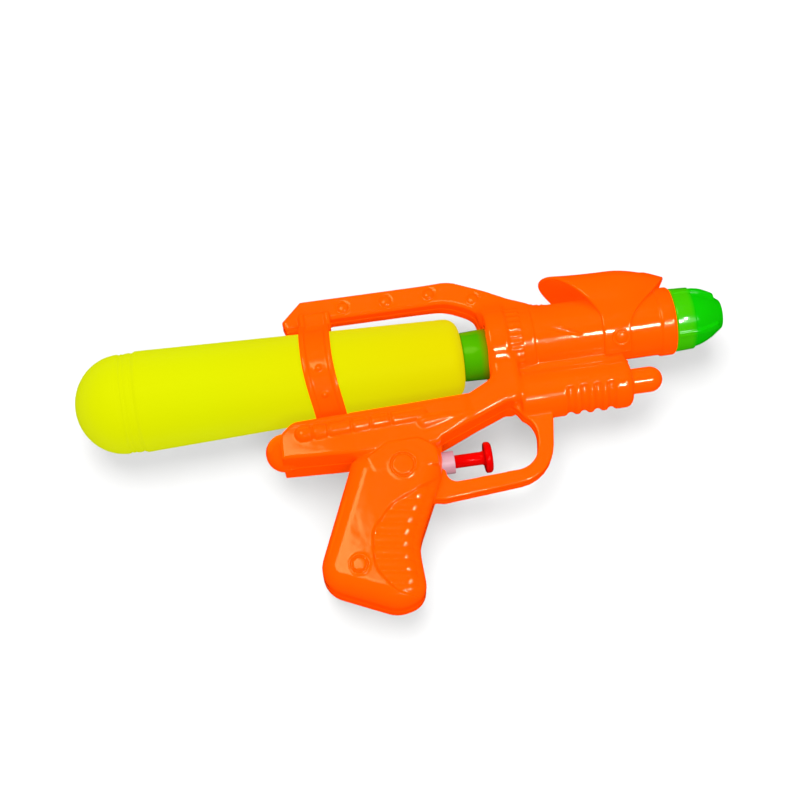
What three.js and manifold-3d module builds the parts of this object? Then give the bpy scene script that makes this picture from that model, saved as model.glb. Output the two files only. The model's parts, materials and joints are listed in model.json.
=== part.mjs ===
// Toy water squirter: two moulded half shells, a screw-on bottle tank, a trigger pump and a ribbed tip.
// Gun frame: X to the muzzle, Y to the top rail, Z to the right-hand side. Its origin is where the tank's
// axis meets the rear face of the body's front ring. At the end the gun is laid on its left side.
import * as THREE from 'three';
import { mergeVertices } from 'three/addons/utils/BufferGeometryUtils.js';
import Module from 'manifold-3d';

const wasm = await Module();
wasm.setup();

// Fits
const clear = 0.3;
const wall = 2.2;

// Tank
const tankLength = 181;
const tankReveal = 9.8;
const tankRearRadius = 23.4;
const tankFrontRadius = 18.4;
const tankDome = 22;
const tankWall = 1.4;
const tankShoulder = 6.5;
const grooveAt = 4.8;
const grooveWidth = 3.6;
const grooveDepth = 0.8;
const neckRadius = 9.2;
const neckLength = 9.2;

// Collar
const collarRadius = 11.9;
const collarTaper = 0.5;
const collarFlange = 1.7;
const flangeThickness = 2.2;
const ringLip = 2.3;
const collarHub = 4.5;
const sealThickness = 1.1;
const sealBore = 4.2;
const dipLength = 148;

// Hose passages from the grip through the rail and fore-end to the barrel
const bayRear = -64;
const bayFront = -34;
const bayLow = -52;
const bayHigh = -32;
const doorLow = 3.5;
const doorHigh = 7;
const doorHalfWidth = 8;
const shaftRear = 5;
const shaftFront = 32;

// Hoses
const hoseRadius = 2.6;
const hoseBore = 1.8;
const spigotRadius = hoseBore - 0.4;
const spigotBore = 0.8;
const spigotLength = 6;

// Barrel
const barrelRise = 4;
const barrelLength = 88;
const barrelRadius = 15.2;
const barrelBore = 12.9;
const ringLength = 11;
const ringRadius = 17.4;
const fluteLength = 8.5;
const fluteDepth = 0.8;
const fluteCount = 26;
const muzzleCollarLength = 7.2;
const muzzleCollarRadius = 15.9;
const ridgeLength = 17;
const ridgeHeight = 3.4;
const ridgeHalfWidth = 2.6;
const scallopCount = 5;
const scallopPitch = 2.1;

// Fore-end under the barrel
const foreDrop = 23.4;
const foreStart = 12.1;
const foreLength = 51.4;
const foreRadius = 11.4;
const foreOverlap = 0.5;
const foreWebHalfWidth = 6.7;
const fingerCount = 4;
const fingerPitch = 6.8;
const fingerStart = 17.6;
const fingerDepth = 1.4;
const fingerTop = -26;
const pinRadius = 5.9;
const pinLength = 15;

// Lower rail and frame
const railRear = -99.7;
const railBottom = -42;
const railHalfWidth = 15;
const railTaperStart = -52;
const crestGap = 4.2;
const frameHalfWidth = 12.4;
const frameEdge = 4;
const bumpRadius = 8.8;
const reliefRadius = 3.4;
const reliefSink = 3.2;
const reliefClimb = 2.8;
const reliefDividers = [5, 14.2, 23.4, 32.4, 41.4];
const reliefLength = 57;
const reliefDrop = 32.2;

// Top rail and strap
const topRailHeight = 10.4;
const topRailBottom = 25.9;
const topRailHalfWidth = 6;
const topRailEdge = 1.4;
const topRailSolidFrom = -3;
const rivetRadius = 2.6;
const rivetRise = 0.9;
const rivetPlaces = [[-63, 30.4], [-43, 30.8], [-22.6, 31.2], [-2.8, 25.8]];
const strapRear = -85.8;
const strapWidth = 14.6;
const strapLean = 5;
const strapThickness = 1.9;
const strapRim = 0.9;
const strapRimWidth = 2.6;
const strapClear = 0.5;

// Grip and guard
const gripHalfWidth = 14.5;
const gripEdge = 8;
const bossRise = 0.8;
const gripBosses = [[-46.8, -52.2, 6.6, 4.8], [-72.2, -94.4, 4.8, 3.1]];
const thumbDepth = 1.2;
const ribCount = 9;
const ribPitch = 5;
const ribRadius = 1.5;
const guardHalfWidth = 4.3;
const guardEdge = 0.9;

// Pump
const pumpDrop = 49.9;
const pumpMouth = -23;
const pumpLength = 43.5;
const pumpBore = 4.4;
const pumpWall = 0.8;
const stroke = 12;
const stemRadius = 3;
const headRadius = 7.1;
const headThickness = 3.4;
const headClearance = 1.8;
const glandLength = 6.5;
const pistonLength = 6;
const sealSection = 2;
const springWire = 0.8;
const springTurns = 8;
const springRadius = 2.9;
const portLean = 55;
const portTilt = 25;
const saddleThickness = 2;

// Valves
const ballRadius = 1.5;
const chamberRadius = 1.9;
const valveRadius = 3.1;
const valveLength = 11;
const valveEnd = 2.5;

// Nozzle
const tipLength = 23.4;
const tipRadius = 14.8;
const tipStep = 9;
const tipInset = 2;
const tipFlat = 6;
const tipBulge = 1.3;
const tipWall = 1.8;
const tipPlug = 7;
const tipRibWidth = 2;
const tipRibRise = 1.9;
const tipRibLip = 0.4;
const tipRibEnd = 4;
const tipRibTurn = 45;
const jetRadius = 2.6;
const jetBore = 1.1;
const jetFlange = 5.4;
const jetSeat = barrelLength - tipPlug - 5;
const jetSeatThickness = 2.4;

// Hood
const hoodWall = 1.6;
const hoodRear = 30;
const hoodFront = 88.4;
const bandRear = 53.2;
const bandFront = 66;
const hoodLift = 9.3;
const rearLift = 9.6;
const frontLift = 4.6;
const legAngle = 153;
const studAngle = 126;
const rearSweep = 92;
const frontSweep = 118;
const flareFull = 25;
const flareEnd = 95;
const frontFlareEnd = 80;
const studRadius = 4.2;
const studForward = 1.4;
const studRise = 0.8;

// Screws
const screwHead = 2.4;
const screwHeadHeight = 2;
const screwShank = 1.2;
const screwLength = 10;
const screwSeat = 3.4;
const screwBoss = 4.2;
const screwPlaces = [[-72.2, -94.4], [-86, -36], [-14, 30.9], [57, -26]];

function paint(color, roughness, metalness = 0) {
  return new THREE.MeshStandardMaterial({ color, roughness, metalness });
}

const orange = paint(0xff5f00, 0.25);
const yellow = paint(0xe9ee00, 0.4);
const green = paint(0x35c400, 0.25);
const red = paint(0xe00505, 0.3);
const palePink = paint(0xf3b3c0, 0.4);
const white = paint(0xeeeeea, 0.45);
const rubber = paint(0x2b2b2b, 0.8);
const clearHose = paint(0xd8e2e4, 0.2);
const steel = paint(0x9aa0a6, 0.35, 1);

const radians = (degrees) => (degrees * Math.PI) / 180;

// A closed surface as a solid that can be joined and cut
function solid(geometry) {
  const bare = geometry.index ? geometry.toNonIndexed() : geometry.clone();
  bare.deleteAttribute('normal');
  bare.deleteAttribute('uv');
  const welded = mergeVertices(bare, 1e-4);
  const corners = welded.index.array;
  const kept = [];
  for (let i = 0; i < corners.length; i += 3) {
    const [a, b, c] = [corners[i], corners[i + 1], corners[i + 2]];
    if (a !== b && b !== c && c !== a) kept.push(a, b, c);
  }
  const vertProperties = new Float32Array(welded.attributes.position.array);
  const triVerts = new Uint32Array(kept);
  return new wasm.Manifold(new wasm.Mesh({ numProp: 3, vertProperties, triVerts }));
}

function surface(body) {
  const { vertProperties, triVerts, numProp } = body.getMesh();
  const geometry = new THREE.BufferGeometry();
  const positions = new Float32Array((vertProperties.length / numProp) * 3);
  for (let i = 0; i < positions.length / 3; i += 1) {
    for (let k = 0; k < 3; k += 1) positions[3 * i + k] = vertProperties[numProp * i + k];
  }
  geometry.setAttribute('position', new THREE.BufferAttribute(positions, 3));
  geometry.setIndex(new THREE.BufferAttribute(new Uint32Array(triVerts), 1));
  return geometry;
}

const joined = (bodies) => bodies.reduce((sum, body) => sum.add(body));

// Outline corners are [x, y, fillet radius]
function filletedPoints(corners, steps = 4) {
  const points = [];
  corners.forEach(([x, y, radius = 0], i) => {
    const corner = new THREE.Vector2(x, y);
    if (!radius) {
      points.push(corner);
      return;
    }
    const before = corners[(i + corners.length - 1) % corners.length];
    const after = corners[(i + 1) % corners.length];
    const back = new THREE.Vector2(before[0], before[1]).sub(corner).normalize();
    const ahead = new THREE.Vector2(after[0], after[1]).sub(corner).normalize();
    const half = Math.acos(THREE.MathUtils.clamp(back.dot(ahead), -1, 1)) / 2;
    const middle = back.clone().add(ahead).normalize();
    const centre = corner.clone().addScaledVector(middle, radius / Math.sin(half));
    const start = corner.clone().addScaledVector(back, radius / Math.tan(half)).sub(centre);
    const end = corner.clone().addScaledVector(ahead, radius / Math.tan(half)).sub(centre);
    const sweep = Math.atan2(start.cross(end), start.dot(end));
    for (let k = 0; k <= steps; k += 1) {
      points.push(start.clone().rotateAround(new THREE.Vector2(), (sweep * k) / steps).add(centre));
    }
  });
  return points;
}

// The same counter-clockwise outline moved in by a distance
function insetCorners(corners, distance) {
  const count = corners.length;
  const line = (i) => {
    const [ax, ay] = corners[i];
    const [bx, by] = corners[(i + 1) % count];
    const along = new THREE.Vector2(bx - ax, by - ay).normalize();
    return { at: new THREE.Vector2(ax - along.y * distance, ay + along.x * distance), along };
  };
  return corners.map(([, , radius = 0], i) => {
    const first = line((i + count - 1) % count);
    const second = line(i);
    const turn = first.along.cross(second.along);
    const reach = second.at.clone().sub(first.at).cross(second.along) / turn;
    const corner = first.at.clone().addScaledVector(first.along, reach);
    const fillet = turn > 0 ? Math.max(radius - distance, 0) : radius + distance;
    return [corner.x, corner.y, radius ? fillet : 0];
  });
}

// A plate of the outline about the parting plane, with rounded edges
function slab(corners, halfWidth, edge = 0, edgeSteps = 3, cornerSteps = 4) {
  const shape = new THREE.Shape(filletedPoints(corners, cornerSteps));
  const geometry = new THREE.ExtrudeGeometry(shape, {
    depth: 2 * (halfWidth - edge),
    bevelEnabled: edge > 0,
    bevelThickness: edge,
    bevelSize: edge,
    bevelOffset: -edge,
    bevelSegments: edgeSteps,
  });
  geometry.translate(0, 0, edge - halfWidth);
  return solid(geometry);
}

// A profile of [x, radius] turned about the X axis
function turnedGeometry(profile, sides = 32) {
  const points = profile.map(([x, radius]) => new THREE.Vector2(radius, x));
  return new THREE.LatheGeometry(points, sides).rotateZ(-Math.PI / 2);
}

const turned = (profile, sides) => solid(turnedGeometry(profile, sides));

// A turned ring or tube, whose profile closes on itself
function turnedRing(profile, sides) {
  return turned([...profile, profile[0]], sides);
}

function rod(from, to, radius, y = 0, sides = 24) {
  return turned([[from, 0], [from, radius], [to, radius], [to, 0]], sides).translate([0, y, 0]);
}

function crossPin(x, y, fromZ, toZ, radius, sides = 16) {
  const pin = new THREE.CylinderGeometry(radius, radius, toZ - fromZ, sides).rotateX(Math.PI / 2);
  return solid(pin.translate(x, y, (fromZ + toZ) / 2));
}

function block(from, to) {
  const size = from.map((low, i) => to[i] - low);
  const box = new THREE.BoxGeometry(...size);
  return solid(box.translate(...from.map((low, i) => low + size[i] / 2)));
}

// A hose along its route
function hoseGeometry(route, steps, sides = 8) {
  const circle = (radius) => new THREE.EllipseCurve(0, 0, radius, radius).getPoints(sides).slice(0, sides);
  const section = new THREE.Shape(circle(hoseRadius));
  section.holes.push(new THREE.Path(circle(hoseBore)));
  const extrudePath = new THREE.CatmullRomCurve3(route.map((point) => new THREE.Vector3(...point)));
  return new THREE.ExtrudeGeometry(section, { steps, extrudePath, curveSegments: 1 });
}

// Closed rings of points joined in order, with the first and last ring filled
function loft(rings) {
  const count = rings[0].length;
  const positions = rings.flat().flatMap((point) => [point.x, point.y, point.z]);
  const index = [];
  for (let ring = 0; ring + 1 < rings.length; ring += 1) {
    for (let i = 0; i < count; i += 1) {
      const a = ring * count + i;
      const b = ring * count + ((i + 1) % count);
      index.push(a, a + count, b, b, a + count, b + count);
    }
  }
  const last = (rings.length - 1) * count;
  for (let i = 1; i + 1 < count; i += 1) {
    index.push(0, i, i + 1);
    index.push(last, last + i + 1, last + i);
  }
  const geometry = new THREE.BufferGeometry();
  geometry.setAttribute('position', new THREE.Float32BufferAttribute(positions, 3));
  geometry.setIndex(index);
  return geometry;
}

const eased = (share) => (1 - Math.cos(Math.PI * THREE.MathUtils.clamp(share, 0, 1))) / 2;

const shoulderX = -tankReveal;
const tailX = shoulderX - tankLength;
const taperStart = tailX + tankDome + grooveAt + grooveWidth;
const taperEnd = shoulderX - tankShoulder;

function tankRadiusAt(x) {
  const share = THREE.MathUtils.clamp((x - taperStart) / (taperEnd - taperStart), 0, 1);
  return THREE.MathUtils.lerp(tankRearRadius, tankFrontRadius, share);
}

// Tank: domed tail, groove ring, taper, rounded shoulder and open neck
function makeTank() {
  const domeArc = (steps, inset) => Array.from({ length: steps + 1 }, (_, i) => {
    const angle = (i / steps) * (Math.PI / 2);
    const depth = tankDome - inset;
    const radius = tankRearRadius - inset;
    return [tailX + tankDome - depth * Math.cos(angle), radius * Math.sin(angle)];
  });
  const shoulderArc = (steps, inset) => Array.from({ length: steps + 1 }, (_, i) => {
    const angle = (i / steps) * (Math.PI / 2);
    const fillet = tankShoulder - inset;
    return [taperEnd + fillet * Math.sin(angle), tankFrontRadius - tankShoulder + fillet * Math.cos(angle)];
  });
  const grooveX = tailX + tankDome + grooveAt;
  const grooveBed = tankRearRadius - grooveDepth;
  const mouthX = shoulderX + neckLength;
  const outside = [
    ...domeArc(7, 0),
    [grooveX, tankRearRadius],
    [grooveX + grooveWidth * 0.3, grooveBed],
    [grooveX + grooveWidth * 0.7, grooveBed],
    [grooveX + grooveWidth, tankRearRadius],
    ...shoulderArc(3, 0),
    [shoulderX, neckRadius],
    [mouthX, neckRadius],
  ];
  const inside = [
    [mouthX, neckRadius - tankWall],
    [shoulderX - tankWall, neckRadius - tankWall],
    ...shoulderArc(2, tankWall).reverse(),
    [grooveX, tankRearRadius - tankWall - grooveDepth],
    ...domeArc(3, tankWall + grooveDepth).reverse(),
  ];
  return turnedGeometry([...outside, ...inside], 24);
}

// Collar: screw socket for the neck, flange held in the front ring, hose spigots on both sides of its web
const flangeX = ringLip + clear;
const socketEnd = shoulderX + neckLength + sealThickness + 2 * clear;
const hubX = flangeX + collarHub;
const flangeRadius = collarRadius + collarFlange;

function makeCollar() {
  const rear = shoulderX + clear;
  return turnedRing([
    [rear, neckRadius + clear],
    [rear, collarRadius - collarTaper],
    [0, collarRadius],
    [flangeX, collarRadius],
    [flangeX, flangeRadius],
    [flangeX + flangeThickness, flangeRadius],
    [flangeX + flangeThickness, collarRadius - collarFlange],
    [hubX, collarRadius - collarFlange],
    [hubX, spigotRadius],
    [hubX + spigotLength, spigotRadius],
    [hubX + spigotLength, spigotBore],
    [socketEnd - spigotLength, spigotBore],
    [socketEnd - spigotLength, spigotRadius],
    [socketEnd, spigotRadius],
    [socketEnd, neckRadius + clear],
  ], 22);
}

function makeTankSeal() {
  const from = shoulderX + neckLength + clear;
  return turnedRing([
    [from, sealBore],
    [from, neckRadius],
    [from + sealThickness, neckRadius],
    [from + sealThickness, sealBore],
  ], 24);
}

function makeDipTube() {
  const from = socketEnd - clear;
  return turnedRing([
    [from - dipLength, hoseBore], [from - dipLength, hoseRadius], [from, hoseRadius], [from, hoseBore],
  ], 12);
}

// Outlines of the moulded housing, counter-clockwise
const crestAt = (x) => -(tankRadiusAt(x) + crestGap);
const frameNose = foreStart + foreOverlap;
const railFrontX = -14;

const railOutline = [
  [railRear, railBottom],
  [-66, railBottom - 1.6],
  [-30, railBottom - 1.2],
  [railFrontX, -34],
  [railFrontX, crestAt(railFrontX)],
  [-93, crestAt(-93), 7],
  [railRear + 0.3, -30.5, 5],
];

const frameOutline = [
  [-66, -43.4],
  [-28.5, -41.6],
  [4.5, -28.8],
  [frameNose, -29.4, 6],
  [frameNose, barrelRise],
  [0, barrelRise],
  [0, -15.5, 5],
  [railFrontX, crestAt(railFrontX)],
  [-66, crestAt(-66)],
];

const gripOutline = [
  [-70.5, -46],
  [-92, -99.4, 14],
  [-58, -117, 14],
  [-43.2, -114, 9],
  [-44, -88, 24],
  [-30, -58, 14],
  [-27.8, -46.2, 9],
  [-36.5, -40.2, 9],
  [-54, -40, 9],
];

const guardOutline = [
  [-40, -44],
  [-38, -67],
  [-30, -68.6],
  [21, -65, 17],
  [24.9, -36.5],
  [25.2, -foreDrop],
  [2, -foreDrop],
];

const fingerGap = [
  [-27.6, -41],
  [-27.6, -61, 5],
  [14.2, -58.8, 11],
  [17, -40, 12],
  [6.5, -27.6, 3],
];

const topRailTop = topRailBottom + topRailHeight;
const topRailOutline = [
  [-90.4, topRailBottom - 3.2],
  [-72, topRailBottom],
  [-15, topRailBottom, 24],
  [-1.2, topRailBottom - 7, 5],
  [1, topRailBottom - 12],
  [18, topRailBottom - 12],
  [18, topRailBottom - 3.2],
  [3.5, topRailBottom + 1.5, 20],
  [-13, topRailTop, 22],
  [-82.5, topRailTop],
  [-92, topRailBottom + 1.4],
];

const thumbOutline = [
  [-37.5, -61.8],
  [-54.5, -69, 14],
  [-64.8, -80, 12],
  [-66.2, -97, 14],
  [-58, -108.5, 8],
  [-47, -113],
  [-45, -106],
  [-46, -88, 24],
];

const muzzleX = barrelLength;
const shaftEnd = muzzleX - muzzleCollarLength;

function fluteRing() {
  const points = [];
  for (let i = 0; i < fluteCount; i += 1) {
    const step = (2 * Math.PI) / fluteCount;
    const valley = ringRadius - fluteDepth;
    [[0, valley], [0.35, ringRadius], [0.65, ringRadius]].forEach(([share, radius]) => {
      const angle = (i + share) * step;
      points.push(new THREE.Vector2(Math.cos(angle), Math.sin(angle)).multiplyScalar(radius));
    });
  }
  const shape = new THREE.Shape(points);
  const geometry = new THREE.ExtrudeGeometry(shape, { depth: fluteLength, bevelEnabled: false });
  return solid(geometry.rotateY(Math.PI / 2).translate(ringLength - 0.4, barrelRise, 0));
}

function barrelBody() {
  const edge = 1.2;
  const shaft = turned([
    [0, 0],
    [0, ringRadius - edge],
    [edge, ringRadius],
    [ringLength - edge, ringRadius],
    [ringLength, ringRadius - fluteDepth],
    [ringLength + edge, barrelRadius],
    [shaftEnd, barrelRadius],
    [shaftEnd + edge, muzzleCollarRadius],
    [muzzleX - edge, muzzleCollarRadius],
    [muzzleX, muzzleCollarRadius - edge],
    [muzzleX, 0],
  ], 24).translate([0, barrelRise, 0]);
  const ridgeTop = barrelRise + barrelRadius + ridgeHeight;
  const ridge = slab([
    [ringLength, barrelRise],
    [ringLength + ridgeLength + 4, barrelRise],
    [ringLength + ridgeLength, ridgeTop - 1],
    [ringLength, ridgeTop],
  ], ridgeHalfWidth, 0.6, 2);
  const notches = Array.from({ length: scallopCount }, (_, i) => {
    const x = ringLength + fluteLength + i * scallopPitch;
    return crossPin(x, ridgeTop, -2 * ridgeHalfWidth, 2 * ridgeHalfWidth, scallopPitch * 0.42, 10);
  });
  return joined([shaft, fluteRing(), ridge.subtract(joined(notches))]);
}

function foreEnd() {
  const edge = 1.5;
  const grooves = Array.from({ length: fingerCount }, (_, i) => {
    const x = foreStart + fingerStart + i * fingerPitch;
    const half = fingerPitch * 0.36;
    return [[x - half, foreRadius], [x, foreRadius - fingerDepth], [x + half, foreRadius]];
  }).flat();
  const front = foreStart + foreLength;
  const dome = Array.from({ length: 4 }, (_, i) => {
    const angle = (i / 3) * (Math.PI / 2);
    return [front + pinLength - pinRadius + pinRadius * Math.sin(angle), pinRadius * Math.cos(angle)];
  });
  const body = (sideDetail) => turned([
    [foreStart, 0],
    [foreStart, foreRadius],
    ...sideDetail,
    [front - edge, foreRadius],
    [front, foreRadius - edge],
    [front, pinRadius],
    ...dome,
  ], 18).translate([0, -foreDrop, 0]);
  const upper = block([0, fingerTop, -2 * foreRadius], [front, 0, 2 * foreRadius]);
  const web = block([foreStart, -foreDrop, -foreWebHalfWidth], [front - edge, barrelRise, foreWebHalfWidth]);
  return joined([body(grooves), body([]).intersect(upper), web]);
}

function strap() {
  const bore = tankRadiusAt(strapRear) + strapClear;
  const skin = bore + strapThickness;
  const front = strapRear + strapWidth;
  const half = strapWidth / 2;
  const shift = skin * Math.sin(radians(strapLean));
  const ring = turned([
    [-half, 0],
    [-half, skin + strapRim],
    [strapRimWidth - half, skin + strapRim],
    [strapRimWidth - half, skin],
    [half - strapRimWidth, skin],
    [half - strapRimWidth, skin + strapRim],
    [half, skin + strapRim],
    [half, 0],
  ], 26).rotate([0, 0, strapLean]).translate([strapRear + half + shift, 0, 0]);
  const post = block([strapRear, 0, -topRailHalfWidth], [front, topRailBottom + 3, topRailHalfWidth]);
  const saddleHalfWidth = railHalfWidth - frameEdge;
  const saddle = block(
    [strapRear + 2 * shift, crestAt(strapRear) - 4, -saddleHalfWidth],
    [front + 2 * shift, 0, saddleHalfWidth],
  );
  return joined([ring, post, saddle]);
}

function strapBore() {
  const radius = tankRadiusAt(strapRear) + strapClear;
  return rod(strapRear - strapWidth, strapRear + 2 * strapWidth, radius, 0, 26);
}

// Segmented relief bar along each side of the lower rail
function reliefBar(side) {
  const start = railRear + 7.5;
  const half = 0.7;
  const depth = 0.5;
  const grooves = reliefDividers.flatMap((x) => [
    [x - half, reliefRadius], [x, reliefRadius - depth], [x + half, reliefRadius],
  ]);
  const bar = turned([
    [-2 * half, 0], [-2 * half, reliefRadius - 2 * half], [0, reliefRadius], ...grooves,
    [reliefLength, reliefRadius], [reliefLength, 0],
  ], 10);
  const sink = THREE.MathUtils.radToDeg(Math.atan(reliefSink / reliefLength));
  const place = [start, -reliefDrop, side * (railHalfWidth - depth)];
  return bar.rotate([0, side * sink, reliefClimb]).translate(place);
}

function gripDetail(side) {
  const skin = gripHalfWidth;
  return joined(gripBosses.flatMap(([x, y, outer, inner]) => {
    const low = side > 0 ? skin - 2 : -skin - bossRise;
    const rim = crossPin(x, y, low, low + 2 + bossRise, outer);
    const grooveFrom = side > 0 ? skin + bossRise * 0.4 : -skin - bossRise - 1;
    const channel = crossPin(x, y, grooveFrom, grooveFrom + 1 + bossRise * 0.6, outer - 1);
    const island = crossPin(x, y, low, low + 2 + bossRise, inner);
    return [rim.subtract(channel).add(island)];
  }));
}

// Ribbed hollow for the fingers on each side of the grip
function thumbHollow(side) {
  const cut = slab(thumbOutline, thumbDepth, 0, 1, 3).translate([0, 0, side * gripHalfWidth]);
  const ribs = Array.from({ length: ribCount }, (_, i) => {
    const y = -66 - i * ribPitch;
    const z = side * (gripHalfWidth - thumbDepth - ribRadius * 0.4);
    return rod(-70, -36, ribRadius, y, 6).translate([0, 0, z]);
  });
  return cut.subtract(joined(ribs));
}

function railRivets(side) {
  return joined(rivetPlaces.map(([x, y]) => {
    const dome = new THREE.SphereGeometry(rivetRadius, 8, 5).scale(1, 1, rivetRise / rivetRadius);
    return solid(dome.translate(x, y, side * topRailHalfWidth));
  }));
}

const pumpRadius = pumpBore + pumpWall;
const pumpRear = pumpMouth - pumpLength;
const foreFront = foreStart + foreLength;

// The lower rail, whose sides draw in to the frame's width towards the front
function rail() {
  const far = 2 * railHalfWidth;
  const wedge = slab([
    [railTaperStart, railHalfWidth],
    [railFrontX, frameHalfWidth],
    [railFrontX, far],
    [railTaperStart, far],
  ], 4 * far).rotate([90, 0, 0]);
  return slab(railOutline, railHalfWidth, frameEdge, 3, 3).subtract(wedge.add(wedge.mirror([0, 0, 1])));
}

function housing() {
  const bump = solid(new THREE.SphereGeometry(bumpRadius, 16, 10).translate(railRear + 1.4, -34.4, 0));
  const outside = joined([
    rail(),
    slab(frameOutline, frameHalfWidth, frameEdge, 3, 3),
    slab(gripOutline, gripHalfWidth, gripEdge, 3, 3),
    slab(guardOutline, guardHalfWidth, guardEdge, 1),
    slab(topRailOutline, topRailHalfWidth, topRailEdge, 1),
    barrelBody(), foreEnd(), strap(), bump,
    reliefBar(1), reliefBar(-1), gripDetail(1), gripDetail(-1), railRivets(1), railRivets(-1),
  ]);
  const bore = [
    [-1, 0], [-1, collarRadius + clear], [ringLip, collarRadius + clear], [ringLip, flangeRadius + clear],
    [flangeX + flangeThickness + clear, flangeRadius + clear],
    [flangeX + flangeThickness + clear, collarRadius - collarFlange + clear],
    [hubX, collarRadius - collarFlange + clear], [hubX, barrelBore],
    [jetSeat, barrelBore], [jetSeat, jetRadius + clear],
    [jetSeat + jetSeatThickness, jetRadius + clear], [jetSeat + jetSeatThickness, barrelBore],
    [muzzleX + 1, barrelBore], [muzzleX + 1, 0],
  ];
  const seat = bore.slice(0, 6).concat([[hubX + 1, collarRadius - collarFlange + clear], [hubX + 1, 0]]);
  const hollows = joined([
    slab(insetCorners(railOutline, wall), railHalfWidth - wall, frameEdge - wall, 1, 2),
    slab(insetCorners(frameOutline, wall), frameHalfWidth - wall, frameEdge - wall, 1, 2)
      .subtract(rod(-wall, hubX + wall, flangeRadius + wall)),
    slab(insetCorners(gripOutline, wall), gripHalfWidth - wall - thumbDepth, gripEdge - wall, 1, 2),
    block([bayRear, bayLow, wall - frameHalfWidth], [bayFront, bayHigh, frameHalfWidth - wall]),
    slab(insetCorners(topRailOutline, wall), topRailHalfWidth - wall)
      .subtract(block(
        [topRailSolidFrom, 0, -topRailHalfWidth],
        [barrelLength, topRailTop, topRailHalfWidth],
      )),
    rod(foreStart + wall, foreFront - wall, foreRadius - wall - fingerDepth, -foreDrop),
    block(
      [frameNose - 2 * wall, -foreDrop - doorLow, -doorHalfWidth],
      [foreStart + 2 * wall, -foreDrop + doorHigh, doorHalfWidth],
    ),
    block(
      [hubX + shaftRear, -foreDrop, wall - foreWebHalfWidth],
      [hubX + shaftFront, barrelRise, foreWebHalfWidth - wall],
    ),
    turned([[hubX, 0], ...bore.slice(7)], 24).translate([0, barrelRise, 0]),
    turned(seat, 28),
  ]);
  const saddles = joined([pumpRear + 9, pumpMouth - 14].map((x) => {
    const low = [x, -pumpDrop - 9, -gripHalfWidth];
    return block(low, [x + saddleThickness, -pumpDrop, gripHalfWidth]).intersect(outside);
  }));
  const bosses = joined(screwPlaces.map(([x, y]) => crossPin(x, y, -20, 20, screwBoss))).intersect(outside);
  const cuts = joined([
    slab(fingerGap, 2 * gripHalfWidth),
    thumbHollow(1), thumbHollow(-1),
    rod(pumpRear - clear, pumpMouth + clear, pumpRadius + clear, -pumpDrop),
    strapBore(),
    ...screwPlaces.flatMap(([x, y]) => [
      crossPin(x, y, -30, -screwSeat, screwHead + clear),
      crossPin(x, y, -screwSeat - 1, screwLength - screwSeat + clear, screwShank + clear, 12),
    ]),
  ]);
  return joined([outside.subtract(hollows), saddles, bosses]).subtract(cuts);
}

function makeShells() {
  const whole = housing();
  const far = 300;
  const right = whole.intersect(block([-far, -far, 0], [far, far, far]));
  const left = whole.intersect(block([-far, -far, -far], [far, far, 0]));
  return { right, left };
}

// Hood: a flared saddle over the barrel. Its legs draw in to a band that clasps the barrel.
function makeHood() {
  const bandRadius = barrelRadius + clear + hoodWall;
  const spans = 24;
  const along = 5;
  const falloff = (angle, full, none) => 1 - eased((Math.abs(angle) - full) / (none - full));
  const rings = [];
  for (let i = 0; i <= spans; i += 1) {
    const angle = -legAngle + (2 * legAngle * i) / spans;
    const rear = hoodRear + (bandRear - hoodRear) * eased(Math.abs(angle) / rearSweep);
    const front = hoodFront + (bandFront - hoodFront) * eased(Math.abs(angle) / frontSweep);
    const wide = falloff(angle, flareFull, flareEnd);
    const radii = [
      bandRadius + rearLift * wide,
      bandRadius + hoodLift * wide,
      bandRadius + frontLift * falloff(angle, 0, frontFlareEnd),
    ];
    const point = (share, inset) => {
      const late = 2 * share - 1;
      const radius = late < 0
        ? THREE.MathUtils.lerp(radii[1], radii[0], late * late)
        : THREE.MathUtils.lerp(radii[1], radii[2], late * late);
      const x = THREE.MathUtils.lerp(rear, front, share);
      const turn = radians(angle);
      const reach = radius - inset;
      return new THREE.Vector3(x, barrelRise + reach * Math.cos(turn), reach * Math.sin(turn));
    };
    const outer = Array.from({ length: along }, (_, k) => point(k / (along - 1), 0));
    const inner = Array.from({ length: along }, (_, k) => point(1 - k / (along - 1), hoodWall));
    rings.push([...outer, ...inner]);
  }
  const studX = (bandRear + bandFront) / 2 + studForward;
  const studs = [1, -1].map((side) => {
    const turn = radians(side * studAngle);
    const disc = new THREE.CylinderGeometry(studRadius - 0.4, studRadius, studRise + 1, 16);
    const dome = new THREE.SphereGeometry(studRadius * 0.6, 12, 8).translate(0, studRise * 0.5, 0);
    const stud = solid(disc).add(solid(dome));
    const foot = block([-10, -10, -10], [10, -studRise / 2 - 0.3, 10]);
    const placed = stud.subtract(foot).translate([0, bandRadius + studRise / 2, 0]);
    return placed.rotate([THREE.MathUtils.radToDeg(turn), 0, 0]).translate([studX, barrelRise, 0]);
  });
  return joined([solid(loft(rings)), ...studs]);
}

// Pump parts, on the pump axis
const headRear = pumpMouth + headClearance + stroke;
const pistonFront = pumpMouth - glandLength - 2 * clear;
const pistonRear = pistonFront - pistonLength;
const pistonRadius = pumpBore - clear;
const boreEnd = pumpRear + 2 * pumpWall;
const inletRoot = pumpRear + 5.5;
const outletRoot = pumpRear + 12;

// Turns a piece made along +Y from the pump axis so that it leans forward and to one side
function leaned(body, root, side) {
  return body.rotate([0, 0, -portLean]).rotate([side * portTilt, 0, 0]).translate([root, -pumpDrop, 0]);
}

function leanedPoint(distance, root, side) {
  const lean = radians(portLean);
  const tilt = radians(side * portTilt);
  const height = distance * Math.cos(lean);
  return [root + distance * Math.sin(lean), -pumpDrop + height * Math.cos(tilt), height * Math.sin(tilt)];
}

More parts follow.
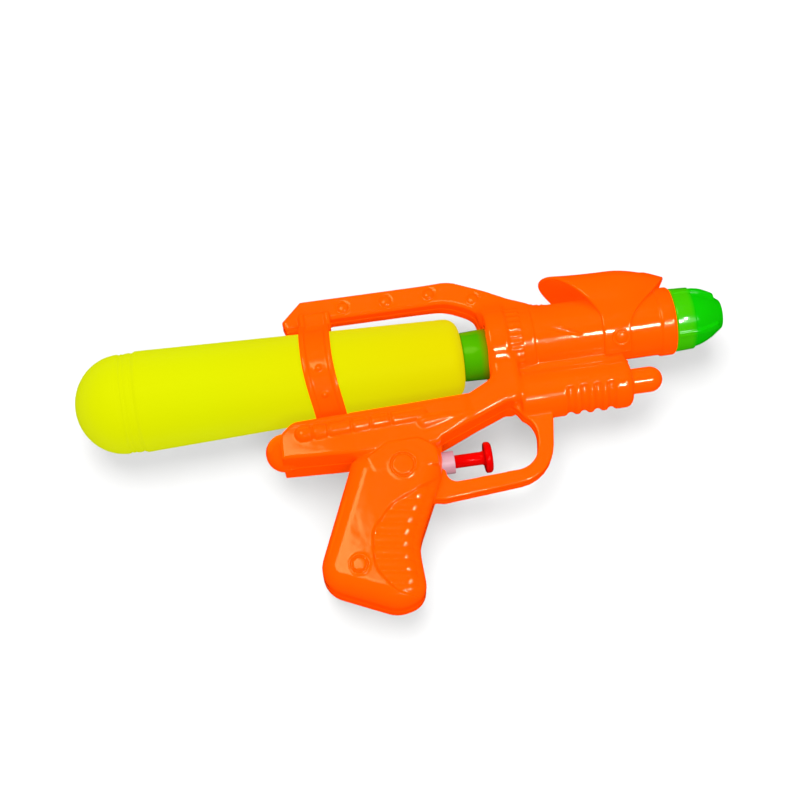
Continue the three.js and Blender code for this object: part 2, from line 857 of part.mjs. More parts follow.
const upright = (profile, sides) => turned(profile, sides).rotate([0, 0, 90]);
const portExit = (pumpRadius + clear) / Math.cos(radians(portLean));
const portReach = portExit + 4 + spigotLength;

function makePumpCylinder() {
  const barrel = turned([
    [pumpRear, 0], [pumpRear, pumpRadius], [pumpMouth, pumpRadius], [pumpMouth, pumpBore],
    [boreEnd, pumpBore], [boreEnd, 0],
  ], 28).translate([0, -pumpDrop, 0]);
  const spigot = leaned(upright([
    [pumpBore, 0], [pumpBore, spigotRadius], [portReach, spigotRadius], [portReach, 0],
  ], 10), outletRoot, -1);
  const bore = rod(boreEnd, pumpMouth + 1, pumpBore, -pumpDrop, 28);
  const passage = upright([[0, 0], [0, spigotBore], [portReach + 1, spigotBore], [portReach + 1, 0]], 8);
  const ports = leaned(passage, outletRoot, -1).add(leaned(passage, inletRoot, 1));
  return barrel.add(spigot.subtract(bore)).subtract(ports);
}

function makeGland() {
  const from = pumpMouth - glandLength;
  const outer = pumpBore - clear;
  const inner = stemRadius + clear;
  const to = pumpMouth - clear;
  const ring = turnedRing([[from, inner], [from, outer], [to, outer], [to, inner]], 24);
  return ring.translate([0, -pumpDrop, 0]);
}

const sealLand = (pistonLength - sealSection) / 2;
const sealGroove = { from: pistonRear + sealLand, to: pistonFront - sealLand };
const sealBed = pistonRadius - 1.3;

function makePlunger() {
  const round = 1.1;
  const body = turned([
    [pistonRear, 0], [pistonRear, pistonRadius], [sealGroove.from, pistonRadius],
    [sealGroove.from, sealBed], [sealGroove.to, sealBed], [sealGroove.to, pistonRadius],
    [pistonFront, pistonRadius], [pistonFront, stemRadius], [headRear, stemRadius],
    [headRear, headRadius - round], [headRear + round, headRadius],
    [headRear + headThickness - round, headRadius], [headRear + headThickness, headRadius - round],
    [headRear + headThickness + 0.5, 0],
  ], 20);
  return body.translate([0, -pumpDrop, 0]);
}

function makePistonSeal() {
  const inner = sealBed + clear;
  const outer = pistonRadius + clear / 2;
  const from = sealGroove.from + clear;
  const to = sealGroove.to - clear;
  const middle = (from + to) / 2;
  return turnedRing([
    [from, inner], [from, outer - clear], [middle, outer], [to, outer - clear], [to, inner],
  ], 16).translate([0, -pumpDrop, 0]);
}

// Return spring between the cylinder's end and the piston, one unbroken wire
class SpringCurve extends THREE.Curve {
  getPoint(share, target = new THREE.Vector3()) {
    const from = boreEnd + clear + springWire / 2;
    const to = pistonRear - clear - springWire / 2;
    const turn = 2 * Math.PI * springTurns * share;
    return target.set(
      THREE.MathUtils.lerp(from, to, share),
      -pumpDrop + springRadius * Math.cos(turn),
      springRadius * Math.sin(turn),
    );
  }
}

// Least clear distance between points of the wire that are half a turn or more apart
function leastWireGap(wire, steps) {
  const points = wire.getPoints(steps);
  const apart = Math.ceil(steps / springTurns / 2);
  let least = Infinity;
  points.forEach((point, i) => points.slice(i + apart).forEach((other) => {
    least = Math.min(least, point.distanceTo(other));
  }));
  return least - springWire;
}

function makeSpring() {
  const wire = new SpringCurve();
  const sides = 5;
  const steps = springTurns * 8;
  const gap = leastWireGap(wire, steps * 4).toFixed(2);
  console.log(`return spring: least gap of the wire to itself ${gap} mm`);
  const circle = new THREE.EllipseCurve(0, 0, springWire / 2, springWire / 2);
  const section = circle.getPoints(sides).slice(0, sides);
  return new THREE.ExtrudeGeometry(new THREE.Shape(section), { steps, extrudePath: wire, curveSegments: 1 });
}

// A ball valve along X from 0: spigot first, then the cone that the ball seats in, then its chamber
function valveProfile() {
  const end = spigotLength + valveLength;
  const chamberFrom = spigotLength + valveEnd;
  const chamberTo = end - valveEnd;
  const cone = chamberRadius - spigotBore;
  return [
    [0, spigotBore], [0, spigotRadius], [spigotLength, spigotRadius], [spigotLength, valveRadius],
    [end, valveRadius], [end, spigotBore], [chamberTo, spigotBore], [chamberTo, chamberRadius],
    [chamberFrom, chamberRadius], [chamberFrom - cone, spigotBore],
  ];
}

// Where the ball's centre rests, just off its cone
const ballRest = spigotLength + valveEnd - chamberRadius + ballRadius * Math.SQRT2 + clear;

const valveReach = portExit + spigotLength + valveLength;

function makeInletValve() {
  const flipped = turnedRing(valveProfile(), 16).rotate([0, 180, 0]).translate([valveReach, 0, 0]);
  const stub = turned([[portExit - 4, spigotBore], [portExit - 4, valveRadius], [portExit + 1, valveRadius],
    [portExit + 1, spigotBore], [portExit - 4, spigotBore]], 16);
  const upward = flipped.add(stub).rotate([0, 0, 90]);
  const cylinder = rod(pumpRear - spigotLength, pumpMouth, pumpRadius + clear, -pumpDrop, 28);
  return leaned(upward, inletRoot, 1).subtract(cylinder);
}

const outletValveX = jetSeat - clear - spigotLength - valveLength;

function makeOutletValve() {
  return turnedRing(valveProfile(), 16).translate([outletValveX, barrelRise, 0]);
}

function ball(point) {
  return solid(new THREE.SphereGeometry(ballRadius, 10, 7).translate(...point));
}

// Nozzle: jet tube seated in the barrel's bulkhead, its seal ring and the tip plugged into the muzzle
const jetFlangeX = jetSeat + jetSeatThickness + clear;
const tipX = muzzleX + clear;
const tipEnd = tipX + tipLength;
const webX = tipX + tipLength - 2 * tipWall;

function makeJet() {
  const flangeEnd = jetFlangeX + 2;
  return turnedRing([
    [jetSeat, jetBore], [jetSeat, jetRadius], [jetFlangeX, jetRadius], [jetFlangeX, jetFlange],
    [flangeEnd, jetFlange], [flangeEnd, jetRadius], [webX - clear, jetRadius], [webX - clear, jetBore],
  ], 16).translate([0, barrelRise, 0]);
}

function makeNozzleSeal() {
  const from = jetFlangeX + 2 + clear;
  return turnedRing([
    [from, jetRadius + clear], [from, jetFlange], [from + 1.6, jetFlange], [from + 1.6, jetRadius + clear],
  ], 16).translate([0, barrelRise, 0]);
}

function tipRadiusAt(x) {
  const share = (x - tipX - tipStep) / (tipLength - tipStep);
  return THREE.MathUtils.lerp(tipRadius - tipInset, tipFlat, Math.max(share, 0) ** tipBulge);
}

function makeTip() {
  const stepX = tipX + tipStep;
  const cone = Array.from({ length: 5 }, (_, i) => {
    const x = stepX + ((tipLength - tipStep) * i) / 5;
    return [x, tipRadiusAt(x)];
  });
  const plugRadius = barrelBore - clear;
  const plugX = muzzleX - tipPlug;
  const body = turned([
    [plugX, 0], [plugX, plugRadius], [tipX, plugRadius], [tipX, tipRadius], [stepX, tipRadius - 0.4],
    ...cone, [tipEnd - 0.8, tipRadiusAt(tipEnd - 0.8)], [tipEnd, tipFlat - 1.2], [tipEnd, 0],
  ], 24);
  const ribStop = tipEnd - tipRibEnd;
  const crestStart = tipRadius + tipRibLip;
  const crestStop = tipRadiusAt(ribStop) + tipRibRise;
  const crest = [1, 0.75, 0.5, 0.25, 0].map((share) => [
    THREE.MathUtils.lerp(stepX, ribStop, share),
    THREE.MathUtils.lerp(crestStart, crestStop, share ** tipBulge),
  ]);
  const ribRoot = tipFlat - 1;
  const ribOutline = [[tipX, ribRoot], [ribStop, ribRoot], ...crest, [tipX, crestStart]];
  const rib = slab(ribOutline, tipRibWidth / 2);
  const ribs = [0, 90, 180, 270].map((turn) => rib.rotate([tipRibTurn + turn, 0, 0]));
  const cupEnd = webX - clear - 6;
  const hollow = turned([
    [plugX - 1, 0], [plugX - 1, plugRadius - tipWall], [stepX, plugRadius - tipWall],
    [cupEnd, tipRadiusAt(cupEnd) - tipWall - 1], [cupEnd, jetRadius + clear], [webX, jetRadius + clear],
    [webX, jetBore], [tipEnd + 1, jetBore], [tipEnd + 1, 0],
  ], 20);
  return joined([body, ...ribs]).subtract(hollow).translate([0, barrelRise, 0]);
}

function makeScrew([x, y]) {
  const slot = block([-screwHead, -0.35, screwHeadHeight - 0.8], [screwHead, 0.35, screwHeadHeight + 1]);
  const body = turned([
    [-screwLength, 0], [-screwLength + 1.5, screwShank], [0, screwShank], [0, screwHead],
    [screwHeadHeight * 0.5, screwHead], [screwHeadHeight, screwHead * 0.6], [screwHeadHeight, 0],
  ], 12).rotate([0, -90, 0]);
  return body.subtract(slot).rotate([0, 180, 0]).translate([x, y, -screwSeat - clear]);
}

// Hose routes inside the housing
const onSpigot = clear - spigotLength;
const inletHose = [4, 0.5, onSpigot].map((past) => leanedPoint(valveReach + past, inletRoot, 1));
const outletHose = [onSpigot, 0.5, 4].map((past) => leanedPoint(portReach + past, outletRoot, -1));
const collarHose = [clear, spigotLength + 0.5, spigotLength + 4].map((past) => [hubX + past, 0, 0]);
const jetHose = [-5, -0.5, spigotLength - clear].map((past) => [outletValveX + past, barrelRise, 0]);

const suctionRoute = [
  ...collarHose,
  [hubX + 20, -0.8, 0.8],
  [hubX + 27, -6, 1.2],
  [hubX + 27.5, -13, 1.2],
  [hubX + 22, -19.2, 2.2],
  [hubX + 12, -22, 4],
  [hubX + 2, -22.8, 4.2],
  [-13, -27.8, 5],
  ...inletHose,
];

const deliveryRoute = [
  ...outletHose,
  [-18, -30.8, -5.5],
  [0, -24.5, -4.5],
  [11, -21.6, -2.8],
  [17.5, -16, -1.5],
  [20.5, -10.5, -1.4],
  [22.6, -6, -1.7],
  [26, -3, -4.6],
  [hubX + 27, barrelRise - 3.2, -5.4],
  [outletValveX - 15, barrelRise - 0.6, -2],
  ...jetHose,
];

// The assembly, laid on its left side so that tank and grip end rest on the table
const gun = new THREE.Group();

function add(name, shape, material) {
  const geometry = shape instanceof THREE.BufferGeometry ? shape : surface(shape);
  const mesh = new THREE.Mesh(geometry, material);
  mesh.name = name;
  gun.add(mesh);
}

const { right, left } = makeShells();
add('right_shell', right, orange);
add('left_shell', left, orange);
add('barrel_hood', makeHood(), orange);
add('water_tank', makeTank(), yellow);
add('tank_collar', makeCollar(), green);
add('tank_seal', makeTankSeal(), rubber);
add('dip_tube', makeDipTube(), clearHose);
add('pump_cylinder', makePumpCylinder(), palePink);
add('pump_gland', makeGland(), white);
add('trigger_plunger', makePlunger(), red);
add('piston_seal', makePistonSeal(), rubber);
add('return_spring', makeSpring(), steel);
add('inlet_valve', makeInletValve(), white);
add('inlet_ball', ball(leanedPoint(valveReach - ballRest, inletRoot, 1)), steel);
add('outlet_valve', makeOutletValve(), white);
add('outlet_ball', ball([outletValveX + ballRest, barrelRise, 0]), steel);
add('suction_hose', hoseGeometry(suctionRoute, 24), clearHose);
add('delivery_hose', hoseGeometry(deliveryRoute, 24), clearHose);
add('nozzle_jet', makeJet(), white);
add('nozzle_seal', makeNozzleSeal(), rubber);
add('nozzle_tip', makeTip(), green);
screwPlaces.forEach((place, i) => add(`shell_screw_${i + 1}`, makeScrew(place), steel));

const footY = Math.min(...gripOutline.map(([, y]) => y));
const gripFoot = new THREE.Vector2(-footY - gripEdge, gripHalfWidth - gripEdge);
const footAngle = Math.atan2(gripFoot.y, gripFoot.x);
const restAngle = Math.asin((tankRearRadius - gripEdge) / gripFoot.length()) - footAngle;
gun.rotation.x = restAngle;

const squirter = new THREE.Group();
squirter.add(gun);
squirter.updateMatrixWorld(true);
const extent = new THREE.Box3().setFromObject(squirter, true);
const middle = extent.getCenter(new THREE.Vector3());
gun.position.set(-middle.x, -middle.y, -extent.min.z);

export default squirter;
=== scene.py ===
"""Toy water squirter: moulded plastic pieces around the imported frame, on a white studio floor."""

import json
import math

import bpy
import numpy as np
from mathutils import Matrix, Vector


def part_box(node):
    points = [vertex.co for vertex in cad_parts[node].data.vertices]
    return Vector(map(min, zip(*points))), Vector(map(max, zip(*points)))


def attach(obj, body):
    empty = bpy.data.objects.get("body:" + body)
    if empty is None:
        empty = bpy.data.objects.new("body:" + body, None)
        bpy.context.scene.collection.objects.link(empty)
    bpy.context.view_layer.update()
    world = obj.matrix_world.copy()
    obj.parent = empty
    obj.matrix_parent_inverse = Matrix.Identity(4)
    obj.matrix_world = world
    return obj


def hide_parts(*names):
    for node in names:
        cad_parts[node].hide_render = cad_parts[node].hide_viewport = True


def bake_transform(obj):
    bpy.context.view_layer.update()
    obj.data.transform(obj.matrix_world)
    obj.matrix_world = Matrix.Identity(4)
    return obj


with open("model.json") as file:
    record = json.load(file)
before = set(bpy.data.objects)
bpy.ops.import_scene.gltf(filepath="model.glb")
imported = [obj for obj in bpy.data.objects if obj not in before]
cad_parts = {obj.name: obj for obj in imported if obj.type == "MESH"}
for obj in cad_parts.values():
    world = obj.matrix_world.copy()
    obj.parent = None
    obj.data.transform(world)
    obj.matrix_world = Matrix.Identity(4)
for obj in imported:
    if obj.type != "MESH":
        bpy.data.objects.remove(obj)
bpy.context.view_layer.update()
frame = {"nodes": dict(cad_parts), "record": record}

MM = 0.001
RECORD = frame["record"]
JOINTS = {joint["name"]: joint for joint in RECORD["behaviour"]["joints"]}
MOUNTS = {mount["name"]: mount for mount in RECORD["mounts"]}

# The gun frame, in millimetres: X to the muzzle, Y to the top rail, Z to the right-hand side.
# Its origin is on the tank's axis at the rear face of the body's front ring.
RAIL_UP = MOUNTS["top_rail_face"]["axis"]
ROLL = math.atan2(RAIL_UP[2], RAIL_UP[1])
GUN = Matrix.Translation(JOINTS["tank_turn"]["pos_m"]) @ Matrix.Rotation(ROLL, 4, "X") @ Matrix.Scale(MM, 4)

# Fits
FIT = 0.3
OVERRUN = 3.0
HOLE_OVERRUN = 2.0
AXIS_DEPTH = 40.0

# Tank and collar
TAIL_X = -190.8
SHOULDER_X = -11.8
TANK_REAR_RADIUS = 23.4
TANK_FRONT_RADIUS = 18.4
TANK_DOME = 22.0
TANK_DOME_INSET = 0.45
TANK_DOME_STEPS = 24
TANK_SHOULDER = 6.5
TANK_WALL = 1.4
GROOVE_X = TAIL_X + TANK_DOME + 4.8
GROOVE_WIDTH = 3.6
GROOVE_DEPTH = 0.8
GROOVE_CROWN = 0.35
NECK_RADIUS = 9.2
NECK_LENGTH = 9.2
COLLAR_RADIUS = 11.9
COLLAR_CUP = 1.1
COLLAR_SEAT = 2.6
COLLAR_FLANGE = 13.6
COLLAR_FLANGE_END = COLLAR_SEAT + 2.2
COLLAR_BOSS = 10.2
BOSS_HOLE = (5, 8)
COLLAR_FRONT = 7.1
SPIGOT_RADIUS = 1.4
SPIGOT_BORE = 0.8
SPIGOT_LENGTH = 6.0

# Grid of the housing
WALL_STEP = 0.67
GRID_LOW = (-110, -122, -3)
GRID_HIGH = (94, 40, 26)
GRID_MARGIN = 4.0
PARTING_GAP = 0.05
PARTING_EDGE = 0.35

# Barrel
BARREL_RISE = 4.0
BARREL_LENGTH = 88.0
BARREL_RADIUS = 15.2
BARREL_BORE = 12.9
BARREL_FILLETS = (2.5, 7.0)
MUZZLE_COLLAR = 7.2
MUZZLE_RADIUS = 15.9
RING_RADIUS = 17.4
RING_LENGTH = 8.8
STEP_RADIUS = 16.0
STEP_END = 21.2
FLUTE_LENGTH = 7.2
FLUTE_COUNT = 32
FLUTE_RADIUS = 16.6
FLUTE_DEPTH = 0.7
FLUTE_SHARPNESS = 0.7
RIDGE_HALF = 2.6
RIDGE_FOOT = 8.0
RIDGE_REAR_TOP = BARREL_RISE + BARREL_RADIUS + 3.2
RIDGE_FRONT_TOP = BARREL_RISE + BARREL_RADIUS + 1.3
RIDGE_BEND = 17.0
RIDGE_FRONT = 32.0
TOOTH_COUNT = 6
TOOTH_START = 18.4
TOOTH_PITCH = 2.5
TOOTH_RADIUS = 1.3
TOOTH_REACH = 6.0
TOOTH_LIFT = 0.2
GOUGE_ENDS = ((26.5, 3.2, 3.0), (42.6, -2.0, -0.3))
GOUGE_RADII = (3.0, 0.6)

# Fore-end
FORE_DROP = 23.4
FORE_START = 11.4
FORE_FRONT = 63.5
FORE_RADIUS = 11.4
FORE_WEB_FRONT = FORE_FRONT - 1.5
FORE_WEB_HALF = 5.8
FINGER_COUNT = 4
FINGER_START = 34.2
FINGER_PITCH = 6.25
FINGER_TOP = -25.4
FINGER_RING = FORE_RADIUS + 0.75
FINGER_TUBE = 2.2
FINGER_FADE = 1.6
PIN_RADIUS = 5.9
PIN_LENGTH = 15.0
PIN_ROOT = 4.0

# Lower rail and frame
RAIL_REAR = -99.7
RAIL_HALF = 15.0
RAIL_NARROWS = (-80.0, -30.0)
FRAME_HALF = 12.4
FRAME_NOSE = 12.6
CREST_GAP = 4.2
BUTT_PLACE = (RAIL_REAR + 1.4, -34.4, 0)
BUTT_RADIUS = 8.8
RELIEF_PLACE = (RAIL_REAR + 10.5, -32.0, RAIL_HALF - 0.1)
RELIEF_LENGTH = 54.0
RELIEF_SLOPE = 2.8
RELIEF_SINK = 3.2
RELIEF_RADIUS = 3.4
RELIEF_DIVIDERS = (4.4, 11.4, 22.2, 30.8, 40.0)
DIVIDER_DEPTH = 1.0
DIVIDER_WIDTH = 0.6
LEAF_ENDS = ((-34, -32.8, 11.0), (-12, -31.2, 11.8))
LEAF_RADII = (4.3, 1.0)

# Top rail and tank strap
TOP_RAIL_LOW = 25.9
TOP_RAIL_HIGH = 36.25
TOP_RAIL_HALF = 6.0
TOP_RAIL_FLARE = 1.5
TOP_RAIL_FLARES = (-32.0, 2.0)
TOP_RAIL_STUDS = ((-63, 30.4), (-43, 30.8), (-22.6, 31.2), (-2.8, 25.3))
TOP_STUD_RADIUS = 2.7
TOP_STUD_FLATTEN = 0.52
TOP_STUD_DISH = 3.3
STRAP_MIDDLE = -78.4
STRAP_WIDTH = 14.2
STRAP_CLEARANCE = 0.5
STRAP_THICK = 1.9
STRAP_LIP = 0.85
STRAP_RIM = 2.3
STRAP_BOW_Y = 2.0
STRAP_BOWS = (0.0023, 0.0058)
STRAP_BORE = (-100, -60)
STRAP_TOP = 28.4
STRAP_POST_FOOT = 10.0
STRAP_POST_HALF = 8.8
STRAP_POST_RIM_HALF = 9.6
STRAP_FOOT_Y = (-32, -24, -18)
STRAP_FOOT_HALF = 6.0
STRAP_RIVETS = (101, 131)
STRAP_RIVET_RADIUS = 1.5

# Grip and guard
GRIP_HALF = 14.5
GRIP_PANEL_DEPTH = 1.5
GRIP_RIBS = {"rise": 0.65, "pitch": 5.6, "slope": 0.17}
GRIP_RINGS = ((-46.8, -52.2, 6.6, 4.8), (-72.2, -94.4, 4.8, 3.1))
GRIP_RING_RISE = 0.5
GRIP_RING_WIDTH = 0.9
GRIP_RING_SINK = 0.7
GRIP_DISC_RISE = 0.6
GUARD_HALF = 4.3
SCREW_PLACES = [(-72.2, -94.4), (-86.0, -36.0), (-14.0, 30.9), (57.0, -26.0)]
SCREW_SEAT = 3.4
SCREW_RECESS = 2.7
SCREW_REACH = 30.0

# Pump
PUMP_DROP = 49.9
PUMP_RADIUS = 5.2
PUMP_ENDS = (-67, -22)
PUMP_BAY_HALF = 10.2
VALVE_BAY = (14, 39.1, -22, 0)
VALVE_BAY_HALF = 4.4
HOSE_CHANNEL = 2.9
HOSE_ROUTE = [
    (-34, -36, 6), (-13, -27.2, 5), (9, -22.6, 4), (19, -21.6, 4), (29, -18.5, 2.4), (34.5, -10, 1.2),
]
PISTON_REAR = -36.1
PISTON_RADIUS = 4.1
PISTON_LAND = 2.0
SEAL_GROOVE = 2.8
STEM_RADIUS = 3.0
HEAD_X = -9.2
HEAD_RADIUS = 7.1
HEAD_SIDE = 3.4
HEAD_LENGTH = 3.8
TRIGGER_TRAVEL = 12.0
SPRING_TURNS = 8
SPRING_RADIUS = 2.9
SPRING_WIRE = 0.8
SPRING_STEPS = 24
SPRING_SIDES = 10

# Hood
HOOD_WALL = 1.6
HOOD_REAR = 30.0
HOOD_FRONT = 88.4
BAND_REAR = 53.2
BAND_FRONT = 66.0
BAND_RADIUS = BARREL_RADIUS + FIT + HOOD_WALL
HOOD_LIFT = 9.8
HOOD_REAR_LIFT = 10.8
HOOD_FRONT_LIFT = 3.8
HOOD_LIP = 0.8
HOOD_LIP_START = 0.82
HOOD_LIP_SLOPE = 0.03
REAR_SWEEP = 92.0
FRONT_SWEEP = 118.0
FLARE_START = 25.0
FLARE_SWEEP = 70.0
FRONT_LIFT_SWEEP = 80.0
LIP_SWEEP = 50.0
LEG_ANGLE = 155.0
HOOD_SPANS = 120
HOOD_STEPS = 36
HOOD_RIM_STEPS = 6
STUD_ANGLE = 126.0
STUD_X = (BAND_REAR + BAND_FRONT) / 2 + 1.4
STUD_SINK = 0.15
STUD_DOME = (0.5, 1.0, 2.7)

# Nozzle tip
TIP_X = BARREL_LENGTH + FIT
TIP_LENGTH = 23.4
TIP_RADIUS = 14.8
TIP_STEP = 9.0
TIP_INSET = 1.3
TIP_FLAT = 6.3
TIP_BULGE = 1.65
TIP_NOSE = 1.8
TIP_SKIN = 0.4
TIP_PLUG_RADIUS = 12.6
TIP_ORIFICE = 1.1
TIP_WEB = 3.6
TIP_CUP = 6.3
TIP_RIB_RISE = 1.9
TIP_RIB_LIP = 0.4
TIP_RIB_END = 3.4
TIP_RIB_FOOT = 3.1
TIP_RIB_FLANK = 0.5
TIP_RIB_TURN = 51.0
TIP_SIDES = 288
TIP_CONE_STEPS = 36

# Finishes that change along the gun: where each change starts and ends
# Painted bounce light from the orange body, warming the bottle towards its neck: where it starts and ends
BOTTLE_PAINTED_BOUNCE = (SHOULDER_X - 120, SHOULDER_X + 5)
# Painted bounce light from the orange ring, browning the collar: where it starts and ends
COLLAR_PAINTED_BOUNCE = (-3.8, 1.46)
# Painted light through the tip's thin base ring, turning it yellower: where it starts and ends
TIP_YELLOWS = (TIP_X + TIP_STEP, TIP_X + TIP_STEP - 2.22)
SKIN_GRAIN = 1400.0
RIPPLE_GRAIN = 110.0
SKIN_DEPTH = 0.0002

# Camera, in the gun frame, with the photograph's size and focal length in pixels
CAMERA_ANGLES = (20.0, 2.8, 7.93)
CAMERA_TARGET = (-42.9, -16.62, 0)
CAMERA_DISTANCE = 759
PHOTO_SIZE = 800
PHOTO_FOCAL = 1650
SENSOR_WIDTH = 36

# Studio, in metres and watts
FLOOR_HALF = 6.0
PAPER_DARK = (0.48, 0.48, 0.48, 1)
PAPER_PALE = (0.5, 0.5, 0.5, 1)
SKY_STRENGTH = 0.9
WARM_WHITE = (1.0, 0.85, 0.45)


def linear(*srgb):
    """A linear colour from 8-bit screen values"""
    shares = [value / 255 for value in srgb]
    return [s / 12.92 if s <= 0.04045 else ((s + 0.055) / 1.055) ** 2.4 for s in shares] + [1.0]


# Finishes

class Wire:
    """A shader socket whose arithmetic adds Math nodes"""

    def __init__(self, finish, socket):
        self.finish = finish
        self.socket = socket

    def _math(self, operation, first, second):
        return self.finish.node("ShaderNodeMath", {"operation": operation}, {0: first, 1: second})

    def __add__(self, other):
        return self._math("ADD", self, other)

    __radd__ = __add__

    def __sub__(self, other):
        return self._math("SUBTRACT", self, other)

    def __rsub__(self, other):
        return self._math("SUBTRACT", other, self)

    def __mul__(self, other):
        return self._math("MULTIPLY", self, other)

    __rmul__ = __mul__


class Finish:
    """A plastic, rubber or metal finish made of shader nodes"""

    def __init__(self, name):
        self.material = bpy.data.materials.new(name)
        self.material.use_nodes = True
        self.tree = self.material.node_tree
        self.shader = self.tree.nodes["Principled BSDF"]
        self.pigment = None

    def node(self, kind, settings=None, inputs=None, output=0):
        made = self.tree.nodes.new(kind)
        for key, value in (settings or {}).items():
            setattr(made, key, value)
        self.feed(made, inputs or {})
        return Wire(self, made.outputs[output])

    def feed(self, made, inputs):
        for key, value in inputs.items():
            if isinstance(value, Wire):
                self.tree.links.new(value.socket, made.inputs[key])
            else:
                made.inputs[key].default_value = value

    def set(self, **inputs):
        self.feed(self.shader, {key.replace("_", " "): value for key, value in inputs.items()})

    def place(self):
        return self.node("ShaderNodeTexCoord", output=3)

    def noise(self, scale, detail=2.0, roughness=0.5):
        inputs = {"Vector": self.place(), "Scale": scale, "Detail": detail, "Roughness": roughness}
        return self.node("ShaderNodeTexNoise", {}, inputs)

    def mix(self, share, first, second):
        settings = {"data_type": "RGBA"}
        return self.node("ShaderNodeMix", settings, {"Factor": share, 6: first, 7: second}, output=2)

    def bump(self, height, strength, distance):
        return self.node("ShaderNodeBump", {}, {"Height": height, "Strength": strength, "Distance": distance})

    def fade(self, start, end):
        """Goes from 0 to 1 between two places along the gun, in millimetres"""
        first, last = ((GUN @ Vector((x, 0, 0))).x for x in (start, end))
        along = self.node("ShaderNodeSeparateXYZ", {}, {0: self.place()})
        settings = {"operation": "MULTIPLY", "use_clamp": True}
        return self.node("ShaderNodeMath", settings, {0: along - first, 1: 1 / (last - first)})


def moulded(name, deep, pale, gloss, flow=30.0, **inputs):
    """Moulded plastic: clouded pigment, handling marks in the gloss and a faint flow texture"""
    finish = Finish(name)
    cloud = finish.noise(flow, detail=3.0)
    marks = finish.noise(flow * 9, detail=4.0, roughness=0.6)
    skin = finish.noise(SKIN_GRAIN, detail=1.0)
    ripple = finish.noise(RIPPLE_GRAIN)
    finish.pigment = finish.mix(cloud, linear(*deep), linear(*pale))
    finish.set(
        Base_Color=finish.pigment,
        Roughness=gloss + 0.04 * marks,
        Normal=finish.bump(0.15 * skin + cloud + 2.0 * ripple, strength=0.25, distance=SKIN_DEPTH),
        IOR=1.5,
        **inputs,
    )
    return finish


def shell_orange():
    finish = moulded("shell_orange", (255, 61, 0), (255, 67, 0), gloss=0.05)
    finish.set(Specular_IOR_Level=0.3, Specular_Tint=(1.0, 0.9, 0.6, 1.0))
    # Painted light: this glow lifts the shaded undersides, a painted stand-in for bounce light from the floor
    # and the tank
    finish.set(Emission_Color=linear(255, 76, 0), Emission_Strength=0.22)
    return finish


def bottle_yellow():
    """Blown bottle: soft gloss; a painted glow for light passing a little through its wall, which also evens
    out its shade; painted bounce light from the orange body warms it towards the neck
    """
    finish = moulded("bottle_yellow", (97, 102, 0), (104, 107, 0), gloss=0.45, flow=14.0)
    painted_glow = finish.mix(finish.fade(*BOTTLE_PAINTED_BOUNCE), linear(190, 199, 0), linear(200, 174, 0))
    # Painted light: a glow that evens out the bottle's shade and warms it next to the orange body
    finish.set(Emission_Color=painted_glow, Emission_Strength=0.96)
    finish.set(Specular_IOR_Level=0.04, Specular_Tint=(1.0, 1.0, 0.1, 1.0))
    return finish


def collar_green():
    """Collar: browner next to the orange ring, whose light falls on it"""
    finish = moulded("collar_green", (46, 119, 0), (63, 135, 0), gloss=0.1, flow=60.0)
    # Painted reflection of the orange ring's light, browning the collar next to it
    finish.set(Base_Color=finish.mix(finish.fade(*COLLAR_PAINTED_BOUNCE), finish.pigment, linear(118, 68, 0)))
    finish.set(Specular_IOR_Level=0.1, Specular_Tint=(0.7, 1.0, 0.3, 1.0))
    return finish


def nozzle_green():
    """Thin moulding: yellower where the base ring lets light through, deep green on the cone"""
    finish = moulded("nozzle_green", (2, 128, 0), (6, 135, 0), gloss=0.1, flow=60.0)
    ring = finish.mix(finish.noise(40.0), linear(28, 128, 0), linear(48, 135, 0))
    painted_glow = finish.mix(finish.fade(*TIP_YELLOWS), finish.pigment, ring)
    # Painted light: the emission is a glow that evens out the nozzle's shade, standing in for light through
    # its thin wall
    finish.set(Base_Color=painted_glow, Emission_Color=painted_glow, Emission_Strength=0.65, Specular_IOR_Level=0.4)
    return finish


# Outlines

def rounded(corners, steps=6):
    """Points of an outline whose corners are (x, y, fillet radius)"""
    points = []
    count = len(corners)
    for i, corner in enumerate(corners):
        here = np.array(corner[:2], float)
        radius = corner[2] if len(corner) > 2 else 0.0
        if not radius:
            points.append(here)
            continue
        back = np.array(corners[i - 1][:2]) - here
        ahead = np.array(corners[(i + 1) % count][:2]) - here
        back /= np.linalg.norm(back)
        ahead /= np.linalg.norm(ahead)
        half = math.acos(np.clip(back @ ahead, -1, 1)) / 2
        middle = (back + ahead) / np.linalg.norm(back + ahead)
        centre = here + middle * radius / math.sin(half)
        start = here + back * radius / math.tan(half) - centre
        end = here + ahead * radius / math.tan(half) - centre
        sweep = math.atan2(start[0] * end[1] - start[1] * end[0], start @ end)
        for k in range(steps + 1):
            turn = sweep * k / steps
            cos, sin = math.cos(turn), math.sin(turn)
            points.append(centre + [cos * start[0] - sin * start[1], sin * start[0] + cos * start[1]])
    return np.array(points)


def outline_distance(points, x, y):
    """Signed distance to a closed outline, negative inside"""
    nearest = np.full(np.broadcast(x, y).shape, 1e6, np.float32)
    inside = np.zeros(nearest.shape, bool)
    for (ax, ay), (bx, by) in zip(points, np.roll(points, -1, axis=0)):
        ex, ey = bx - ax, by - ay
        length = ex * ex + ey * ey
        if length < 1e-9:
            continue
        share = np.clip(((x - ax) * ex + (y - ay) * ey) / length, 0, 1)
        nearest = np.minimum(nearest, (x - ax - share * ex) ** 2 + (y - ay - share * ey) ** 2)
        if ey:
            crosses = (ay > y) != (by > y)
            inside ^= crosses & (x < ax + (y - ay) * ex / ey)
    return np.sqrt(nearest) * np.where(inside, -1, 1).astype(np.float32)


